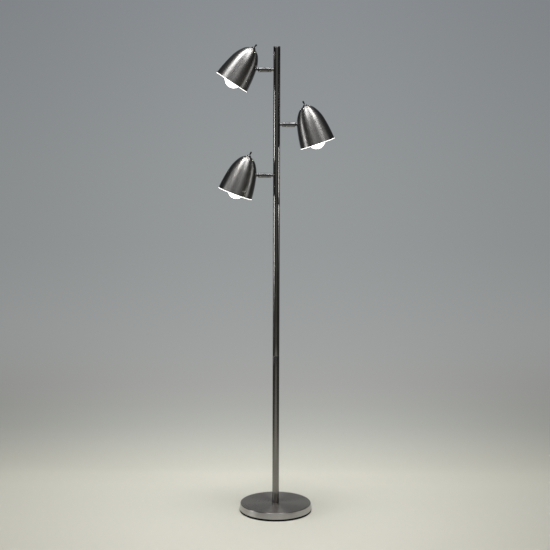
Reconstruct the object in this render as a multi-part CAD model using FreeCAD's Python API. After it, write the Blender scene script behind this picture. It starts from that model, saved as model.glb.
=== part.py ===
"""Tree floor lamp: a weighted round base, a pole of three screwed tubes and three bullet-shaped spot heads.

Millimetres, +Z up. The origin is the middle of the base's underside, on the floor, and the pole stands on
the Z axis. The arms lie along X: the upper and lower heads are on the -X side, the middle head on +X.

Each head hangs on a ball swivel. The ball's hollow stud is bolted to the shade's wall, the ball sits in the
open end of the arm, and a nylon seat with a coil spring behind it presses the ball against the arm's lip.
Inside the shade a bent steel bracket on the same stud carries the lampholder and the bulb, and a toggle
switch sits in the shade's flat top.

Two local frames are used. An arm's frame has its origin on the pole's axis at the arm's height and +X
outwards along the arm. A head's frame has its origin in the middle of the shade's mouth, +Z along the
shade's axis towards its top, and +X towards the arm.
"""

import FreeCAD
import Part
import math
import os

# ---------------------------------------------------------------- base
PAD_THICKNESS = 4.0
PAD_INSET = 0.8
PAD_EDGE_RADIUS = 0.5
COVER_HEIGHT = 25.0
COVER_TOP_RADIUS = 127.0
COVER_FLARE = 3.0
COVER_EDGE_RADIUS = 2.0
COVER_WALL = 1.5
WEIGHT_THICKNESS = 18.0
WEIGHT_SIDE_GAP = 0.8
BOARD_SIDE_GAP = 1.8
WEIGHT_RECESS_RADIUS = 24.0
WEIGHT_RECESS_DEPTH = 9.0
CABLE_CHANNEL_WIDTH = 13.0
BASE_NIPPLE_RADIUS = 6.5
BASE_NIPPLE_BORE = 4.6
BASE_NIPPLE_REACH = 22.0
BASE_NIPPLE_TAIL = 1.0
BASE_NUT_FLATS = 19.0
BASE_NUT_HEIGHT = 4.0
BASE_WASHER_RADIUS = 14.0
BASE_WASHER_THICKNESS = 1.6
BUSHING_HEIGHT = 12.0
BUSHING_RADIUS = 5.5
BUSHING_FLANGE_RADIUS = 7.5
BUSHING_FLANGE = 2.0
BUSHING_LENGTH = 14.0
BUSHING_BORE = 3.6

# ---------------------------------------------------------------- pole
POLE_RADIUS = 12.0
POLE_WALL = 1.2
SECTION_LENGTH = 540.0
SECTION_COUNT = 3
COUPLER_LENGTH = 60.0
COUPLER_BORE = 7.0
FOOT_PLUG_LENGTH = 26.0
CAP_HEIGHT = 5.0
CAP_EDGE_RADIUS = 1.6
CAP_SPIGOT_LENGTH = 14.0
SLIDE_FIT = 0.05
THREAD_FIT = 0.02

# ---------------------------------------------------------------- arms and swivels
ARM_DROPS = {"upper": 75.0, "middle": 263.0, "lower": 439.5}
ARM_SIDES = {"upper": -1, "middle": 1, "lower": -1}
HEAD_TILTS = {"upper": 33.0, "middle": 18.8, "lower": 20.5}
NECK_RADIUS = 5.0
COLLAR_START = 19.0
COLLAR_RADIUS = 8.3
ARM_START = 29.5
ARM_END = 63.5
ARM_RADIUS = 8.5
ARM_BORE = 6.9
ARM_EDGE_RADIUS = 1.0
ARM_CABLE_BORE = 2.9
SPIGOT_END = 40.0
LIP_DEPTH = 2.5
BALL_RADIUS = 6.5
BALL_FIT = 0.1
SEAT_LENGTH = 9.0
SEAT_FIT = 0.08
SEAT_BORE = 3.6
SEAT_SETBACK = 0.6
SPRING_WIRE = 0.6
SPRING_SIDE_GAP = 0.3
SPRING_TURNS = 5
SPRING_END_GAP = 0.15
INSERT_HEIGHT = 16.0
INSERT_FACE = 3.5

# ---------------------------------------------------------------- shade
MOUTH_RADIUS = 61.8
SHADE_WALL = 1.0
MOUTH_LEAN = 4.0
LOWER_KNOT_HEIGHT = 80.0
UPPER_KNOT_HEIGHT = 122.0
LOWER_ARC_RADIUS = 474.0
MIDDLE_ARC_RADIUS = 118.3
SHOULDER_ARC_RADIUS = 42.0
TOP_FLAT_RADIUS = 9.0
VENT_COUNT = 8
VENT_RADIUS = 3.0
VENT_HEIGHT = 131.5
VENT_TURNS = {"upper": 0.0, "middle": 22.5, "lower": 11.25}

# ---------------------------------------------------------------- stud and bracket
STUD_HEIGHT = 86.0
STUD_STAND_OFF = 9.0
STUD_NECK_RADIUS = 3.5
STUD_FLANGE_RADIUS = 6.0
STUD_FLANGE = 2.2
STUD_RADIUS = 4.0
STUD_INSIDE_LENGTH = 11.0
STUD_BORE = 2.3
HOLE_FIT = 0.2
BRACKET_THICKNESS = 1.5
BRACKET_WIDTH = 14.0
BRACKET_TAIL = 9.0
BRACKET_RISE = 9.0
BRACKET_KNEE_RADIUS = 31.0
BRACKET_BEND = 2.5
STUD_NUT_FLATS = 13.0
STUD_NUT_HEIGHT = 4.0
STUD_WASHER_RADIUS = 6.5
STUD_WASHER_THICKNESS = 1.0

# ---------------------------------------------------------------- lampholder and bulb
HOLDER_LENGTH = 35.0
HOLDER_RIM_RADIUS = 18.5
HOLDER_FOOT_RADIUS = 16.5
HOLDER_WAIST = 18.0
HOLDER_TAPER = 3.0
HOLDER_FLOOR = 6.0
HOLDER_BORE = 14.4
SHELL_RADIUS = 14.2
SHELL_WALL = 0.6
SHELL_RECESS = 3.0
CONTACT_RADIUS = 4.0
CONTACT_THICKNESS = 1.2
CONTACT_GAP = 0.2
HOLDER_SCREW_RADIUS = 1.75
HOLDER_SCREW_HEAD = 3.2
HOLDER_SCREW_HEAD_HEIGHT = 2.2
HOLDER_SCREW_BITE = 4.5
HOLDER_SCREW_SPACING = 17.0
BULB_OVERHANG = 17.0
GLOBE_RADIUS = 30.0
GLOBE_WALL = 1.2
GLOBE_SKIRT_LENGTH = 31.0
GLOBE_NECK_RADIUS = 21.5
HOUSING_LENGTH = 22.0
HOUSING_RIM = 3.0
HOUSING_FOOT_RADIUS = 13.9
BULB_CAP_RADIUS = 13.2
BULB_CAP_LENGTH = 23.0
BULB_THREAD_DEPTH = 0.7
BULB_THREAD_COUNT = 6
BULB_CONTACT_RADIUS = 5.0
BULB_CONTACT_HEIGHT = 3.6
BULB_CONTACT_SEAT = 1.6
BULB_CONTACT_EASE = 1.0

# ---------------------------------------------------------------- toggle switch
SWITCH_BODY_X = 28.0
SWITCH_BODY_Y = 16.0
SWITCH_BODY_HEIGHT = 12.0
SWITCH_CORNER_RADIUS = 1.5
SWITCH_BOSS_RADIUS = 7.5
SWITCH_BOSS_HEIGHT = 4.0
SWITCH_BUSHING_RADIUS = 5.9
SWITCH_BUSHING_RISE = 5.5
SWITCH_BUSHING_BORE = 3.3
SWITCH_NUT_FLATS = 15.0
SWITCH_NUT_HEIGHT = 2.6
TERMINAL_RADIUS = 2.0
TERMINAL_LENGTH = 3.0
TERMINAL_SPACING = 14.0
LEVER_PIVOT_RISE = 2.4
LEVER_BALL_RADIUS = 3.22
LEVER_ROOT_RADIUS = 1.5
LEVER_TIP_RADIUS = 3.1
LEVER_LENGTH = 17.0
LEVER_TAIL = 5.0
LEVER_TAIL_GAP = 1.5
LEVER_LEAN = 8.0

# ---------------------------------------------------------------- wiring
HARNESS_RADIUS = 3.2
BRANCH_RADIUS = 2.1
BRANCH_BEND = 5.0
BRANCH_DROP = 60.0
BRANCH_JOIN = 5.0
LEAD_RADIUS = 1.1
LEAD_BEND = 5.0
LEAD_GAP = 0.05
LEAD_ENTRY_DROP = 5.0

# ---------------------------------------------------------------- worked-out places
HEADS = ("upper", "middle", "lower")
COVER_FOOT_RADIUS = COVER_TOP_RADIUS + COVER_FLARE
PAD_RADIUS = COVER_FOOT_RADIUS - PAD_INSET
BASE_TOP = PAD_THICKNESS + COVER_HEIGHT
POLE_TOP = BASE_TOP + SECTION_COUNT * SECTION_LENGTH
ARM_HEIGHTS = {head: POLE_TOP - ARM_DROPS[head] for head in HEADS}
POLE_BORE = POLE_RADIUS - POLE_WALL
BALL_REACH = ARM_END - LIP_DEPTH
BALL_SOCKET = BALL_RADIUS + BALL_FIT
SEAT_START = BALL_REACH - SEAT_LENGTH
UP = FreeCAD.Vector(0, 0, 1)
ALONG_X = FreeCAD.Vector(1, 0, 0)
ALONG_Y = FreeCAD.Vector(0, 1, 0)


def vec(x, y, z):
    return FreeCAD.Vector(x, y, z)


def cylinder(radius, low, high, bore=0.0):
    """A cylinder about Z from height low to high, with an optional bore."""
    solid = Part.makeCylinder(radius, high - low, vec(0, 0, low))
    if bore:
        solid = solid.cut(Part.makeCylinder(bore, high - low, vec(0, 0, low)))
    return solid


def rod(radius, start, end, bore=0.0):
    """A cylinder about X from start to end, with an optional bore."""
    solid = Part.makeCylinder(radius, end - start, vec(start, 0, 0), ALONG_X)
    if bore:
        solid = solid.cut(Part.makeCylinder(bore, end - start, vec(start, 0, 0), ALONG_X))
    return solid


def ball_at(radius, x):
    """A sphere centred on the X axis."""
    return Part.makeSphere(radius, vec(x, 0, 0), ALONG_X)


def spun(edges):
    """A solid of revolution about Z from edges in the XZ plane that form a closed outline."""
    outline = Part.Wire(Part.__sortEdges__(edges))
    return Part.Face(outline).revolve(vec(0, 0, 0), UP, 360)


def spun_polygon(points):
    """A solid of revolution about Z from (radius, height) corners."""
    corners = [vec(r, 0, z) for r, z in points]
    return Part.Face(Part.makePolygon(corners + corners[:1])).revolve(vec(0, 0, 0), UP, 360)


def hexagon(flats, low, high, bore):
    """A hexagonal nut about Z, with its corners eased by a cone at both ends."""
    corner = flats / math.sqrt(3)
    points = [vec(corner * math.cos(math.radians(60 * k)), corner * math.sin(math.radians(60 * k)), low)
              for k in range(7)]
    prism = Part.Face(Part.makePolygon(points)).extrude(vec(0, 0, high - low))
    ease = (corner - flats / 2) * 0.6
    turned = spun_polygon([(0, low), (flats / 2 + ease, low), (corner + ease, low + ease),
                           (corner + ease, high - ease), (flats / 2 + ease, high), (0, high)])
    return prism.common(turned).cut(cylinder(bore, low - 1, high + 1))


def tube_path(points, radius, bend):
    """A round tube along straight runs joined by tangent arcs of one bend radius."""
    edges = []
    start = points[0]
    for before, corner, after in zip(points, points[1:], points[2:]):
        arrive = (corner - before).normalize()
        leave = (after - corner).normalize()
        half_turn = arrive.getAngle(leave) / 2
        setback = bend * math.tan(half_turn)
        first = corner - arrive * setback
        last = corner + leave * setback
        inward = (leave - arrive).normalize()
        middle = corner + inward * (bend / math.cos(half_turn) - bend)
        edges.append(Part.LineSegment(start, first).toShape())
        edges.append(Part.Arc(first, middle, last).toShape())
        start = last
    edges.append(Part.LineSegment(start, points[-1]).toShape())
    path = Part.Wire(edges)
    section = Part.Wire(Part.makeCircle(radius, points[0], (points[1] - points[0]).normalize()))
    return path.makePipeShell([section], True, True)


def bent_strip(points, thickness, width, bend):
    """A strip of sheet metal: points run along its outer face in the XZ plane, its body to their left."""
    def shifted(distance):
        moved = []
        for k, here in enumerate(points):
            ahead = (points[k + 1] - here).normalize() if k + 1 < len(points) else None
            behind = (here - points[k - 1]).normalize() if k else None
            first, second = behind or ahead, ahead or behind
            left_a = vec(-first.z, 0, first.x)
            left_b = vec(-second.z, 0, second.x)
            share = distance / (1 + left_a.dot(left_b))
            moved.append(here + (left_a + left_b) * share)
        return moved
    outer, inner = shifted(0), shifted(thickness)
    outline = Part.makePolygon(outer + inner[::-1] + outer[:1])
    strip = Part.Face(outline).extrude(vec(0, width, 0))
    strip.translate(vec(0, -width / 2, 0))
    for line, radius in ((outer, bend + thickness), (inner, bend)):
        for corner in line[1:-1]:
            edges = [e for e in strip.Edges
                     if e.Length > width - 1 and abs(e.tangentAt(e.FirstParameter).y) > 0.99
                     and (e.CenterOfMass - corner).Length < thickness / 2]
            strip = strip.makeFillet(radius, edges)
    return strip


# ---------------------------------------------------------------- the shade's outline
def shade_arcs():
    """The outline's three tangent arcs: (centre radius, centre height, radius, angle at foot, angle at top).

    An angle is the wall's lean from the shade's axis, so the wall's outward normal is (cos, sin) of it.
    """
    lean = math.radians(MOUTH_LEAN)
    radius, height = MOUTH_RADIUS, 0.0
    arcs = []
    for arc_radius, knot in ((LOWER_ARC_RADIUS, LOWER_KNOT_HEIGHT), (MIDDLE_ARC_RADIUS, UPPER_KNOT_HEIGHT),
                             (SHOULDER_ARC_RADIUS, None)):
        centre_r = radius - arc_radius * math.cos(lean)
        centre_z = height - arc_radius * math.sin(lean)
        if knot is None:
            end = math.acos((TOP_FLAT_RADIUS - centre_r) / arc_radius)
        else:
            end = math.asin((knot - centre_z) / arc_radius)
        arcs.append((centre_r, centre_z, arc_radius, lean, end))
        radius = centre_r + arc_radius * math.cos(end)
        height = centre_z + arc_radius * math.sin(end)
        lean = end
    return arcs


SHADE_ARCS = shade_arcs()
SHADE_HEIGHT = SHADE_ARCS[-1][1] + SHOULDER_ARC_RADIUS * math.sin(SHADE_ARCS[-1][4])


def shade_wall_at(height, offset=0.0):
    """(radius, lean in radians) of the shade's surface at a height, offset inwards by a distance."""
    for centre_r, centre_z, arc_radius, foot, top in SHADE_ARCS:
        inner = arc_radius - offset
        if height <= centre_z + inner * math.sin(top) or top == SHADE_ARCS[-1][4]:
            lean = math.asin((height - centre_z) / inner)
            return centre_r + inner * math.cos(lean), lean


def shade_outline(offset):
    """Edges of the shade's outline, offset inwards, from the mouth's plane up to the flat top."""
    flat = SHADE_HEIGHT - offset
    edges = []
    for k, (centre_r, centre_z, arc_radius, foot, top) in enumerate(SHADE_ARCS):
        radius = arc_radius - offset
        first = math.asin(-centre_z / radius) if k == 0 else foot
        last = math.asin((flat - centre_z) / radius) if k == len(SHADE_ARCS) - 1 else top
        points = [vec(centre_r + radius * math.cos(a), 0, centre_z + radius * math.sin(a))
                  for a in (first, (first + last) / 2, last)]
        edges.append(Part.Arc(*points).toShape())
    return edges


def shade_filled(offset=0.0):
    """The shade's outer form as one filled solid, offset inwards."""
    edges = shade_outline(offset)
    foot = edges[0].Vertexes[0].Point
    top = edges[-1].Vertexes[-1].Point
    edges += [Part.makeLine(top, vec(0, 0, top.z)), Part.makeLine(vec(0, 0, top.z), vec(0, 0, 0)),
              Part.makeLine(vec(0, 0, 0), foot)]
    return spun(edges)


STUD_WALL_RADIUS, STUD_LEAN = shade_wall_at(STUD_HEIGHT)
STUD_OUTWARD = vec(math.cos(STUD_LEAN), 0, math.sin(STUD_LEAN))
STUD_ENTRY = vec(STUD_WALL_RADIUS, 0, STUD_HEIGHT)
BALL_CENTRE = STUD_ENTRY + STUD_OUTWARD * STUD_STAND_OFF
BRACKET_SEAT = (SHADE_WALL + (BRACKET_WIDTH / 2) ** 2 / (2 * (STUD_WALL_RADIUS - SHADE_WALL))
                + BRACKET_TAIL ** 2 / (2 * MIDDLE_ARC_RADIUS))


def along_stud(solid):
    """Turns a solid built about X, with X = 0 on the shade's outer wall, onto the stud's axis."""
    placed = solid.copy()
    placed.rotate(vec(0, 0, 0), ALONG_Y, -math.degrees(STUD_LEAN))
    placed.translate(STUD_ENTRY)
    return placed


GLOBE_CENTRE = GLOBE_RADIUS - BULB_OVERHANG
GLOBE_END = GLOBE_CENTRE + GLOBE_SKIRT_LENGTH
BULB_CAP_START = GLOBE_END + HOUSING_LENGTH
BULB_CAP_END = BULB_CAP_START + BULB_CAP_LENGTH
CONTACT_FACE = BULB_CAP_END + BULB_CONTACT_HEIGHT + CONTACT_GAP
HOLDER_FLOOR_HEIGHT = CONTACT_FACE + CONTACT_THICKNESS
HOLDER_FOOT_HEIGHT = HOLDER_FLOOR_HEIGHT + HOLDER_FLOOR
HOLDER_RIM_HEIGHT = HOLDER_FOOT_HEIGHT - HOLDER_LENGTH
HOLDER_WAIST_HEIGHT = HOLDER_FOOT_HEIGHT - HOLDER_WAIST
SWITCH_CEILING = SHADE_HEIGHT - SHADE_WALL
SWITCH_TOP = SWITCH_CEILING - SWITCH_BOSS_HEIGHT
SWITCH_FLOOR = SWITCH_TOP - SWITCH_BODY_HEIGHT
TERMINAL_END = SWITCH_FLOOR - TERMINAL_LENGTH
BUSHING_TOP = SHADE_HEIGHT + SWITCH_BUSHING_RISE
LEVER_PIVOT = SHADE_HEIGHT + LEVER_PIVOT_RISE


# ---------------------------------------------------------------- pieces of a head, in the head's frame
def shade(head):
    """Spun steel shell with a ring of round vents, a hole for the stud and a hole for the switch.

    The ring of vents stands at its own turn on each head's shade.
    """
    shell = shade_filled().cut(shade_filled(SHADE_WALL))
    vent_radius, vent_lean = shade_wall_at(VENT_HEIGHT)
    outward = vec(math.cos(vent_lean), 0, math.sin(vent_lean))
    for k in range(VENT_COUNT):
        drill = Part.makeCylinder(VENT_RADIUS, 6 * SHADE_WALL, vec(vent_radius, 0, VENT_HEIGHT)
                                  - outward * 3 * SHADE_WALL, outward)
        drill.rotate(vec(0, 0, 0), UP, VENT_TURNS[head] + 360 * k / VENT_COUNT)
        shell = shell.cut(drill)
    shell = shell.cut(along_stud(rod(STUD_RADIUS + HOLE_FIT, -4 * SHADE_WALL, 4 * SHADE_WALL)))
    return shell.cut(cylinder(SWITCH_BUSHING_RADIUS + HOLE_FIT, SHADE_HEIGHT - 4 * SHADE_WALL,
                              SHADE_HEIGHT + 4 * SHADE_WALL))


def ball_stud():
    """Hollow swivel ball with a neck, a shoulder on the shade's wall and a threaded stud inside."""
    ball = ball_at(BALL_RADIUS, STUD_STAND_OFF)
    neck = rod(STUD_NECK_RADIUS, 0.5, STUD_STAND_OFF)
    flange = rod(STUD_FLANGE_RADIUS, -1.0, STUD_FLANGE)
    stud = rod(STUD_RADIUS, -STUD_INSIDE_LENGTH, 1.0)
    outside = along_stud(ball.fuse([neck, flange])).cut(shade_filled())
    whole = outside.fuse(along_stud(stud)).removeSplitter()
    return whole.cut(along_stud(rod(STUD_BORE, -STUD_INSIDE_LENGTH - 1, STUD_STAND_OFF + BALL_RADIUS + 1)))


def bracket():
    """Bent steel strip from the stud, along the shade's wall and in over the lampholder's foot."""
    away = vec(-STUD_OUTWARD.z, 0, STUD_OUTWARD.x)
    seat = STUD_ENTRY - STUD_OUTWARD * BRACKET_SEAT
    foot = HOLDER_FOOT_HEIGHT + BRACKET_THICKNESS
    points = [seat - away * BRACKET_TAIL, seat + away * BRACKET_RISE, vec(BRACKET_KNEE_RADIUS, 0, foot),
              vec(-HOLDER_SCREW_SPACING / 2 - BRACKET_TAIL / 2, 0, foot)]
    strip = bent_strip(points, BRACKET_THICKNESS, BRACKET_WIDTH, BRACKET_BEND)
    strip = strip.cut(along_stud(rod(STUD_RADIUS + HOLE_FIT, -BRACKET_SEAT - 2 * BRACKET_THICKNESS, 0)))
    for x in (-HOLDER_SCREW_SPACING / 2, HOLDER_SCREW_SPACING / 2):
        hole = cylinder(HOLDER_SCREW_RADIUS + HOLE_FIT, HOLDER_FOOT_HEIGHT - 1, foot + 1)
        strip = strip.cut(hole.translated(vec(x, 0, 0)))
    return strip


def stud_fasteners():
    """Washer and hexagon nut on the stud, and the two screws that hold the lampholder to the bracket."""
    washer_face = -BRACKET_SEAT - BRACKET_THICKNESS
    nut_face = washer_face - STUD_WASHER_THICKNESS
    washer = rod(STUD_WASHER_RADIUS, nut_face, washer_face, STUD_RADIUS + HOLE_FIT)
    nut = hexagon(STUD_NUT_FLATS, 0, STUD_NUT_HEIGHT, STUD_RADIUS + THREAD_FIT)
    nut.rotate(vec(0, 0, 0), ALONG_Y, 90)
    nut.translate(vec(nut_face - STUD_NUT_HEIGHT, 0, 0))
    pieces = [along_stud(washer), along_stud(nut)]
    head_face = HOLDER_FOOT_HEIGHT + BRACKET_THICKNESS
    for x in (-HOLDER_SCREW_SPACING / 2, HOLDER_SCREW_SPACING / 2):
        screw = cylinder(HOLDER_SCREW_RADIUS, HOLDER_FOOT_HEIGHT - HOLDER_SCREW_BITE, head_face)
        head = cylinder(HOLDER_SCREW_HEAD, head_face, head_face + HOLDER_SCREW_HEAD_HEIGHT)
        slot = Part.makeBox(2 * HOLDER_SCREW_HEAD, 0.8, 1.0, vec(-HOLDER_SCREW_HEAD, -0.4,
                                                                 head_face + HOLDER_SCREW_HEAD_HEIGHT - 1.0))
        pieces.append(screw.fuse(head).cut(slot).translated(vec(x, 0, 0)))
    return pieces


def lampholder():
    """Moulded lampholder: a cup for the screw shell on a solid foot with two screw holes."""
    body = spun_polygon([(HOLDER_BORE, HOLDER_RIM_HEIGHT), (HOLDER_RIM_RADIUS, HOLDER_RIM_HEIGHT),
                         (HOLDER_RIM_RADIUS, HOLDER_WAIST_HEIGHT),
                         (HOLDER_FOOT_RADIUS, HOLDER_WAIST_HEIGHT + HOLDER_TAPER),
                         (HOLDER_FOOT_RADIUS, HOLDER_FOOT_HEIGHT),
                         (0, HOLDER_FOOT_HEIGHT), (0, HOLDER_FLOOR_HEIGHT),
                         (HOLDER_BORE, HOLDER_FLOOR_HEIGHT)])
    for x in (-HOLDER_SCREW_SPACING / 2, HOLDER_SCREW_SPACING / 2):
        hole = cylinder(HOLDER_SCREW_RADIUS + THREAD_FIT, HOLDER_FOOT_HEIGHT - HOLDER_SCREW_BITE - 1,
                        HOLDER_FOOT_HEIGHT + 1)
        body = body.cut(hole.translated(vec(x, 0, 0)))
    return body


def socket_contacts():
    """Metal screw shell inside the lampholder, and the centre contact on its floor."""
    shell = cylinder(SHELL_RADIUS, HOLDER_RIM_HEIGHT + SHELL_RECESS, HOLDER_FLOOR_HEIGHT,
                     SHELL_RADIUS - SHELL_WALL)
    contact = cylinder(CONTACT_RADIUS, CONTACT_FACE, HOLDER_FLOOR_HEIGHT)
    return [shell, contact]


def globe_outline(offset):
    """Edges of the bulb's globe, offset inwards: a round nose and a skirt that narrows to the neck."""
    radius = GLOBE_RADIUS - offset
    neck = GLOBE_NECK_RADIUS - offset
    reach = math.hypot(GLOBE_SKIRT_LENGTH, neck)
    touch = math.atan2(GLOBE_SKIRT_LENGTH, neck) - math.acos(radius / reach)
    nose = Part.Arc(vec(0, 0, GLOBE_CENTRE - radius),
                    vec(radius * math.cos((touch - math.pi / 2) / 2), 0,
                        GLOBE_CENTRE + radius * math.sin((touch - math.pi / 2) / 2)),
                    vec(radius * math.cos(touch), 0, GLOBE_CENTRE + radius * math.sin(touch))).toShape()
    skirt = Part.makeLine(nose.Vertexes[-1].Point, vec(neck, 0, GLOBE_END))
    return [nose, skirt]


def bulb_globe():
    """Frosted hollow globe of a standard 60 mm bulb, open at its neck."""
    outer, inner = globe_outline(0.0), globe_outline(GLOBE_WALL)
    closing = [Part.makeLine(outer[0].Vertexes[0].Point, inner[0].Vertexes[0].Point),
               Part.makeLine(outer[1].Vertexes[-1].Point, inner[1].Vertexes[-1].Point)]
    return spun(outer + inner + closing)


def bulb_base():
    """The bulb's housing, its rolled screw cap and the contact at its end, turned as one piece."""
    points = [(0, GLOBE_END), (GLOBE_NECK_RADIUS, GLOBE_END), (GLOBE_NECK_RADIUS, GLOBE_END + HOUSING_RIM),
              (HOUSING_FOOT_RADIUS, BULB_CAP_START)]
    pitch = BULB_CAP_LENGTH / (BULB_THREAD_COUNT + 1)
    for k in range(BULB_THREAD_COUNT):
        root = BULB_CAP_START + pitch * (k + 0.5)
        points.append((BULB_CAP_RADIUS - BULB_THREAD_DEPTH, root))
        points.append((BULB_CAP_RADIUS, root + pitch / 2))
    tip = BULB_CAP_END + BULB_CONTACT_HEIGHT
    points += [(BULB_CAP_RADIUS - BULB_THREAD_DEPTH, BULB_CAP_END),
               (BULB_CONTACT_RADIUS, BULB_CAP_END + BULB_CONTACT_SEAT),
               (BULB_CONTACT_RADIUS, tip - BULB_CONTACT_EASE), (BULB_CONTACT_RADIUS - BULB_CONTACT_EASE, tip),
               (0, tip)]
    return spun_polygon(points)


def switch_body():
    """Moulded switch body under the shade's top, with its threaded bushing and two terminal screws."""
    block = Part.makeBox(SWITCH_BODY_X, SWITCH_BODY_Y, SWITCH_BODY_HEIGHT,
                         vec(-SWITCH_BODY_X / 2, -SWITCH_BODY_Y / 2, SWITCH_FLOOR))
    block = block.makeFillet(SWITCH_CORNER_RADIUS, [e for e in block.Edges if abs(e.tangentAt(0).z) > 0.99])
    boss = cylinder(SWITCH_BOSS_RADIUS, SWITCH_TOP, SWITCH_CEILING)
    whole = block.fuse([boss, cylinder(SWITCH_BUSHING_RADIUS, SWITCH_CEILING - 1, BUSHING_TOP)])
    for x in (-TERMINAL_SPACING / 2, TERMINAL_SPACING / 2):
        pin = cylinder(TERMINAL_RADIUS, TERMINAL_END, SWITCH_FLOOR + 1)
        whole = whole.fuse(pin.translated(vec(x, 0, 0)))
    well = LEVER_PIVOT - LEVER_TAIL - LEVER_TAIL_GAP
    whole = whole.cut(cylinder(SWITCH_BUSHING_BORE, well, BUSHING_TOP + 1))
    return whole.removeSplitter()


def switch_nut():
    """Hexagon nut that clamps the switch to the shade's flat top."""
    return hexagon(SWITCH_NUT_FLATS, SHADE_HEIGHT, SHADE_HEIGHT + SWITCH_NUT_HEIGHT,
                   SWITCH_BUSHING_RADIUS + THREAD_FIT)


def switch_lever():
    """Bat-shaped lever, thicker and round at its tip, with its pivot ball in the bushing."""
    centre = LEVER_LENGTH - LEVER_TIP_RADIUS
    lean = math.asin((LEVER_TIP_RADIUS - LEVER_ROOT_RADIUS) / centre)
    cone_foot = -LEVER_ROOT_RADIUS * math.sin(lean)
    cone_top = centre - LEVER_TIP_RADIUS * math.sin(lean)
    bat = Part.makeCone(LEVER_ROOT_RADIUS * math.cos(lean), LEVER_TIP_RADIUS * math.cos(lean),
                        cone_top - cone_foot, vec(0, 0, cone_foot))
    tail = Part.makeCylinder(LEVER_ROOT_RADIUS, LEVER_TAIL, vec(0, 0, -LEVER_TAIL))
    tip = Part.makeSphere(LEVER_TIP_RADIUS, vec(0, 0, centre))
    lever = bat.fuse([tip, Part.makeSphere(LEVER_BALL_RADIUS), tail]).removeSplitter()
    lever.rotate(vec(0, 0, 0), ALONG_Y, LEVER_LEAN)
    lever.translate(vec(0, 0, LEVER_PIVOT))
    return lever


def leads():
    """Three insulated leads: stud to switch, switch to lampholder and lampholder back to the stud."""
    in_bore = STUD_ENTRY + STUD_OUTWARD * (STUD_STAND_OFF - LEAD_RADIUS)
    stud_end = STUD_ENTRY - STUD_OUTWARD * (STUD_INSIDE_LENGTH + LEAD_BEND)
    aside = vec(0, STUD_BORE - LEAD_RADIUS - LEAD_GAP, 0)
    side = TERMINAL_SPACING / 2
    beside = BRACKET_WIDTH / 2 + 3 * LEAD_RADIUS
    outside = HOLDER_RIM_RADIUS + 4 * LEAD_RADIUS
    turn = TERMINAL_END - LEAD_BEND
    entry = HOLDER_WAIST_HEIGHT - LEAD_ENTRY_DROP
    live = [in_bore + aside, stud_end + aside, vec(outside, beside, STUD_HEIGHT + LEAD_BEND),
            vec(outside, beside, turn), vec(side, 0, turn), vec(side, 0, TERMINAL_END - LEAD_GAP)]
    link = [vec(-side, 0, TERMINAL_END - LEAD_GAP), vec(-side, 0, turn), vec(-outside, 0, turn),
            vec(-outside, 0, entry), vec(-HOLDER_RIM_RADIUS - LEAD_GAP, 0, entry)]
    back = [in_bore - aside, stud_end - aside, vec(outside, 0, entry),
            vec(HOLDER_RIM_RADIUS + LEAD_GAP, 0, entry)]
    return [tube_path(live, LEAD_RADIUS, LEAD_BEND / 2), tube_path(link, LEAD_RADIUS, LEAD_BEND / 2),
            tube_path(back, LEAD_RADIUS, LEAD_BEND / 3)]


# ---------------------------------------------------------------- pieces of an arm, in the arm's frame
def arm():
    """Arm tube whose outer end is drawn in to a round lip that holds the swivel ball."""
    tube = rod(ARM_RADIUS, ARM_START, ARM_END)
    tube = tube.makeFillet(ARM_EDGE_RADIUS, [e for e in tube.Edges if e.Closed])
    tube = tube.cut(rod(ARM_BORE, ARM_START - 1, BALL_REACH))
    return tube.cut(ball_at(BALL_SOCKET, BALL_REACH))


def arm_collar():
    """Hollow turned collar that closes the arm's inner end and screws into the pole."""
    nipple = rod(NECK_RADIUS, INSERT_FACE, COLLAR_START + 1)
    collar = rod(COLLAR_RADIUS, COLLAR_START, ARM_START - THREAD_FIT)
    collar = collar.makeFillet(ARM_EDGE_RADIUS, [e for e in collar.Edges if e.Closed])
    spigot = rod(ARM_BORE - SLIDE_FIT, ARM_START - 2 * ARM_EDGE_RADIUS, SPIGOT_END)
    return nipple.fuse([collar, spigot]).removeSplitter().cut(rod(ARM_CABLE_BORE, 0, SPIGOT_END + 1))


def ball_seat():
    """Nylon seat behind the ball: a plug that slides in the arm, with a round hollow for the ball."""
    seat = rod(ARM_BORE - SEAT_FIT, SEAT_START, BALL_REACH - SEAT_SETBACK)
    seat = seat.cut(ball_at(BALL_SOCKET, BALL_REACH))
    return seat.cut(rod(SEAT_BORE, SEAT_START - 1, BALL_REACH))


def arm_spring():
    """Coil spring between the collar's spigot and the seat."""
    start = SPIGOT_END + SPRING_WIRE + SPRING_END_GAP
    end = SEAT_START - SPRING_WIRE - SPRING_END_GAP
    coil_radius = ARM_BORE - SPRING_WIRE - SPRING_SIDE_GAP
    helix = Part.makeHelix((end - start) / SPRING_TURNS, end - start, coil_radius)
    wire = Part.Wire(helix.Edges)
    rise = (end - start) / SPRING_TURNS / (2 * math.pi * coil_radius)
    section = Part.Wire(Part.makeCircle(SPRING_WIRE, vec(coil_radius, 0, 0), vec(0, 1, rise)))
    coil = wire.makePipeShell([section], True, True)
    coil.rotate(vec(0, 0, 0), ALONG_Y, 90)
    coil.translate(vec(start, 0, 0))
    return coil


def arm_insert():
    """Threaded D-shaped insert inside the pole that the collar screws into."""
    block = cylinder(POLE_BORE - SLIDE_FIT, -INSERT_HEIGHT / 2, INSERT_HEIGHT / 2)
    keep = Part.makeBox(2 * POLE_BORE, 2 * POLE_BORE, 2 * INSERT_HEIGHT, vec(INSERT_FACE, -POLE_BORE,
                                                                           -INSERT_HEIGHT))
    return block.common(keep).cut(rod(NECK_RADIUS + THREAD_FIT, 0, POLE_RADIUS + 1))


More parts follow.
